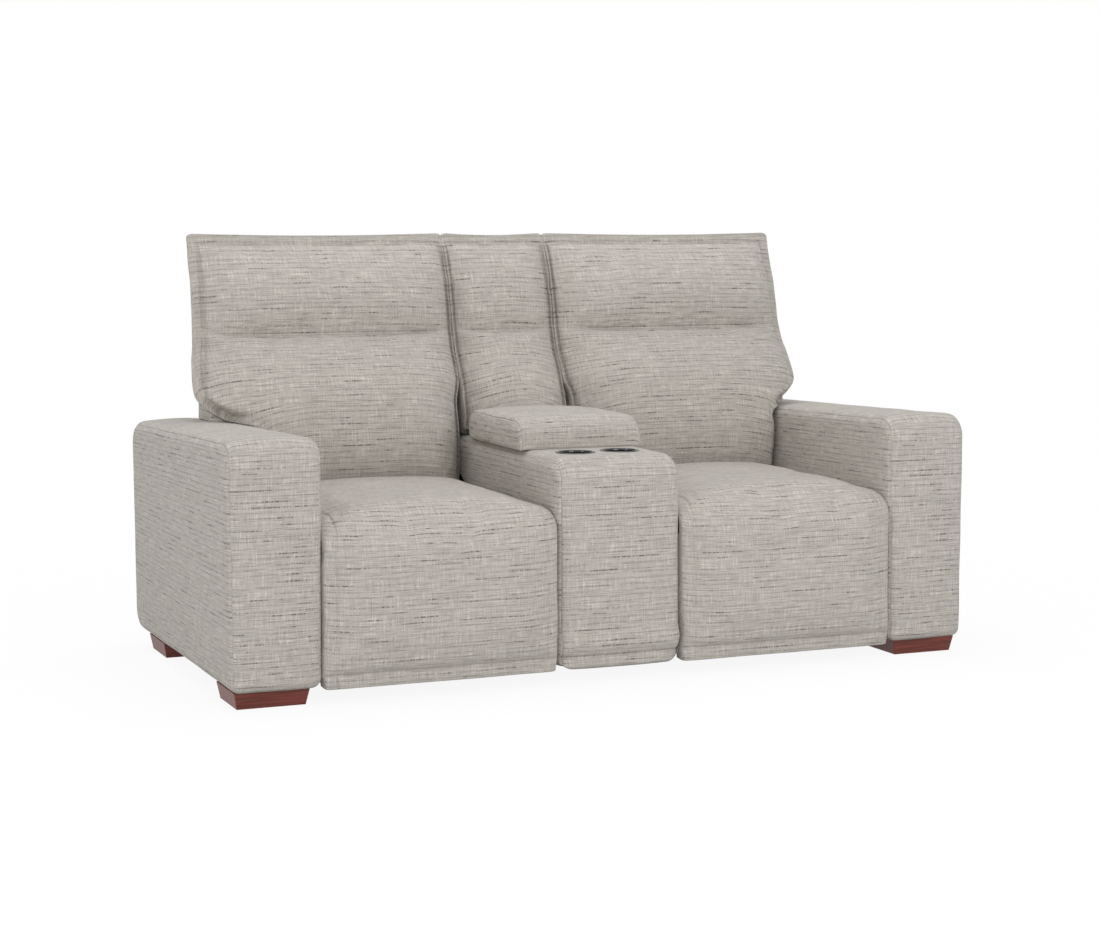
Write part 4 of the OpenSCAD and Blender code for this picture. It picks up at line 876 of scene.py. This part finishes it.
def shell(name, levels, x_low, x_high, y_low, y_high, edge, seed):
    """Level rings stacked up: at each level a rectangle with rounded corners, as wide and deep as
    its lines say, and at both ends a quarter turn in and a flat fill to the middle."""
    ends = [(-edge * np.sin(a), edge * (1 - np.cos(a))) for a in np.radians([90, 70, 50, 30, 12])]
    stack = [(levels[0], edge, fill) for fill in (0.0, 0.35, 0.7)]
    stack += [(levels[0] + edge + dz, inset, 1.0) for dz, inset in ends]
    stack += [(z, 0.0, 1.0) for z in levels[1:-1]]
    stack += [(levels[-1] - edge - dz, inset, 1.0) for dz, inset in ends[::-1]]
    stack += [(levels[-1], edge, fill) for fill in (0.7, 0.35, 0.0)]
    rings, cloth = [], []
    for z, inset, fill in stack:
        x0, x1, y0, y1 = (float(np.interp(z, *line)) for line in (x_low, x_high, y_low, y_high))
        radius = min(0.024, (y1 - y0) / 2 - 0.001) - min(inset, 0.006)
        radii = (radius * 0.3, radius * 0.3, radius, radius)
        line, _, run = even_loop(
            rounded((x0 + inset, y0 + inset * 0.5), (x1 - inset, y1 - inset), radii), 200)
        middle = np.array([(x0 + x1) / 2, (y0 + y1) / 2])
        line = middle + (line - middle) * fill
        rings.append(np.column_stack([line, np.full(len(line), z)]))
        cloth.append(np.column_stack([run, np.full(len(line), z + (1 - fill) * 0.1)]))
    grid = np.array(rings)
    grid[..., 1] += 0.003 * lumps(grid, 0.3, seed) * ramp((grid[..., 1] - 0.30) / 0.04)
    return closed_mesh(name, [(grid, np.array(cloth), 0.0, 1.0)], shaded_back_cloth)


front_z = np.linspace(back_low, back_top, 90)
front_line = spine_y((front_z - back_low) / (back_top - back_low)) + 0.0128
behind = front_z > 0.3845
y_front = (np.concatenate([[0.15, 0.3835], front_z[behind]]),
           np.concatenate([[0.35, 0.35], front_line[behind]]))
rear_y_at = [foot_y, waist_y, shell_top_y]
shell_levels = np.concatenate([[0.15], np.linspace(0.19, 0.37, 6), [0.3835, 0.3845],
                               np.linspace(0.40, 0.594, 9), np.linspace(0.600, 0.668, 16),
                               np.linspace(0.68, 1.06, 20), [1.09]])
for side, hand in sides:
    inner_line = ([0.15, 0.644, 0.668, 1.09], [0.17, 0.17, 0.1535, 0.1535])
    outer_line = ([0.15, 0.600, 0.612, 1.09], [0.766, 0.766, 0.8515, 0.8515])
    if hand < 0:
        inner_line, outer_line = [
            (z, [-value for value in line]) for z, line in (outer_line, inner_line)]
    outside = shell(f"{side}_outside_back", shell_levels, inner_line, outer_line, y_front,
                    ([0.15, 0.65, 1.09], rear_y_at), edge=0.014, seed=61 + hand)
    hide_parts(f"{side}_back_shell")
    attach(outside, f"{side}_back")
centre_levels = np.concatenate([[0.5556], np.linspace(0.58, 1.06, 22), [1.09]])
outside = shell("centre_outside_back", centre_levels, ([0.5, 1.2], [-centre_half, -centre_half]),
                ([0.5, 1.2], [centre_half, centre_half]), y_front,
                ([0.5553, 0.65, 1.09], rear_y_at), edge=0.01, seed=77)
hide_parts("centre_back_shell")
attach(outside, "root")


# Frames and boards: hardwood rails and birch plywood, sanded and left bare. They are glued and
# stapled into the seat frames, the footrest and lid boards and the stretcher between the arms.
timber = Finish("bare_timber", Base_Color=(0.50, 0.33, 0.18), Roughness=0.68)
rings = timber.noise("object", (6, 90, 110), 4.0, 2.0)
growth = timber.ease(rings, 0.3, 0.7)
timber.set(Base_Color=timber.mix((0.36, 0.22, 0.11), (0.62, 0.44, 0.26), growth),
           Roughness=0.6 + rings * 0.2)
timber.bump(rings, 0.0004, 0.4)
dress(["rear_stretcher", "lid_board", "left_seat_frame", "right_seat_frame",
       "left_footrest_board", "right_footrest_board"], timber.material, 0.001)


# Webbing: woven elastic straps with a coarse rib, stapled over the seat frames and clipped across
# the back frames.
strap = Finish("webbing", Base_Color=(0.45, 0.40, 0.33), Roughness=0.9)
rib = strap.node("ShaderNodeTexWave", {"bands_direction": "X"}, {
    "Vector": strap.place("object", (1, 1, 1)), "Scale": 160.0, "Distortion": 0.6})
fuzz = strap.noise("object", (300, 300, 300), seed=1.0)
strap.set(Base_Color=strap.mix((0.33, 0.29, 0.24), (0.56, 0.51, 0.43), rib * 0.6 + fuzz * 0.4))
strap.bump(rib + fuzz * 0.5, 0.0006, 0.6)
dress([f"{side}_{part}_webbing" for part in ("seat", "back") for side in ("left", "right")],
      strap.material)


# Mechanism: black powder coated side plates, tracks, rails and frames, zinc plated links and
# hinges, and white nylon rollers. Links turn on riveted pins.
coated = Finish("powder_coat", Base_Color=(0.028, 0.028, 0.03), Roughness=0.5)
peel = coated.noise("object", (260, 260, 260))
coated.set(Base_Color=coated.mix((0.02, 0.02, 0.021), (0.042, 0.041, 0.041), peel),
           Roughness=0.42 + peel * 0.2)
coated.bump(peel, 0.0002, 0.4)
dress([f"{side}_{part}" for side in ("left", "right") for part in (
    "side_plates", "tracks", "base_rails", "back_frame", "back_brackets", "footrest_brackets")],
    coated.material, 0.0005)
zinc = Finish("zinc_plate", Base_Color=(0.55, 0.55, 0.57), Roughness=0.35, Metallic=1.0)
spangle = zinc.noise("object", (120, 120, 120), 3.0)
scuff = zinc.noise("object", (500, 60, 60), seed=6.0)
zinc.set(Base_Color=zinc.mix((0.42, 0.42, 0.44), (0.66, 0.66, 0.67), spangle),
         Roughness=0.26 + scuff * 0.25)
dress([f"{side}_{part}" for side in ("left", "right")
       for part in ("cranks", "push_bars", "knee_hinges")]
      + ["lid_pivot_arms", "lid_brackets"], zinc.material, 0.0004)
nylon = Finish("nylon", Base_Color=(0.72, 0.70, 0.66), Roughness=0.45)
cloud = nylon.noise("object", (150, 150, 150))
nylon.set(Base_Color=nylon.mix((0.62, 0.60, 0.55), (0.80, 0.78, 0.74), cloud),
          Roughness=0.38 + cloud * 0.15)
dress(["left_rollers", "right_rollers"], nylon.material, 0.0005)


# Studio: a pale floor and a white world for what the camera sees, and even light from the world
# and three large soft lamps, so that colours render about as written.
far, ground_z = 30, -0.0005
floor_mesh = bpy.data.meshes.new("floor")
floor_mesh.from_pydata(
    [(x * far, y * far, ground_z) for x, y in ((-1, -1), (1, -1), (1, 1), (-1, 1))], [],
    [(0, 1, 2, 3)])
floor = placed("floor", floor_mesh)
ground = Finish("floor", Base_Color=(0.6, 0.6, 0.6), Roughness=0.9, Specular_IOR_Level=0.0)
path = ground.node("ShaderNodeLightPath", {}, {})
seen = ground.math("MAXIMUM", path, Flow(ground, path.socket.node.outputs["Is Glossy Ray"]))
ground.set(Base_Color=ground.mix((0.6, 0.6, 0.6), (0.97, 0.97, 0.97), seen))
away = ground.node("ShaderNodeVectorMath", {"operation": "LENGTH"},
                   {0: ground.place("object", (1, 1, 1))}, 1)
bright = ground.node("ShaderNodeEmission", {}, {"Color": (1.0, 1.0, 1.0), "Strength": 1.0})
shown = ground.node("ShaderNodeMixShader", {}, {
    0: seen * (ground.ease(away, 1.4, 3.4) * 0.09 + 0.91),
    1: Flow(ground, ground.shader.outputs[0]), 2: bright})
ground.feed(ground.tree.nodes["Material Output"].inputs["Surface"], shown)
floor_mesh.materials.append(ground.material)

world = bpy.data.worlds.new("studio")
world.use_nodes = True
bpy.context.scene.world = world
sky = Finish("studio", tree=world.node_tree)
path = sky.node("ShaderNodeLightPath", {}, {})
rays = path.socket.node.outputs
seen = sky.math("MAXIMUM", sky.math("MAXIMUM", path, Flow(sky, rays["Is Glossy Ray"])),
                Flow(sky, rays["Is Transmission Ray"]))
lit = sky.node("ShaderNodeBackground", {}, {"Color": (0.99, 0.99, 1.0), "Strength": 0.75})
white = sky.node("ShaderNodeBackground", {}, {"Color": (1.0, 1.0, 1.0), "Strength": 1.0})
both = sky.node("ShaderNodeMixShader", {}, {0: seen, 1: lit, 2: white})
sky.node("ShaderNodeOutputWorld", {}, {"Surface": both})


def soft_lamp(name, place, aim, size, power):
    """A square area lamp at a place, turned to face a point."""
    lamp = placed(name, bpy.data.lights.new(name, "AREA"))
    lamp.data.size, lamp.data.energy = size, power
    lamp.location = place
    lamp.rotation_euler = (Vector(aim) - Vector(place)).to_track_quat("-Z", "Y").to_euler()


soft_lamp("key", (0.4, -4.4, 1.3), (0, -0.3, 0.4), size=2.4, power=59)
soft_lamp("side", (-4.5, -1.5, 0.9), (-1, 0, 0.4), size=1.6, power=30)
soft_lamp("top", (0, 1.0, 4.4), (0, 0, 0), size=3.0, power=56)
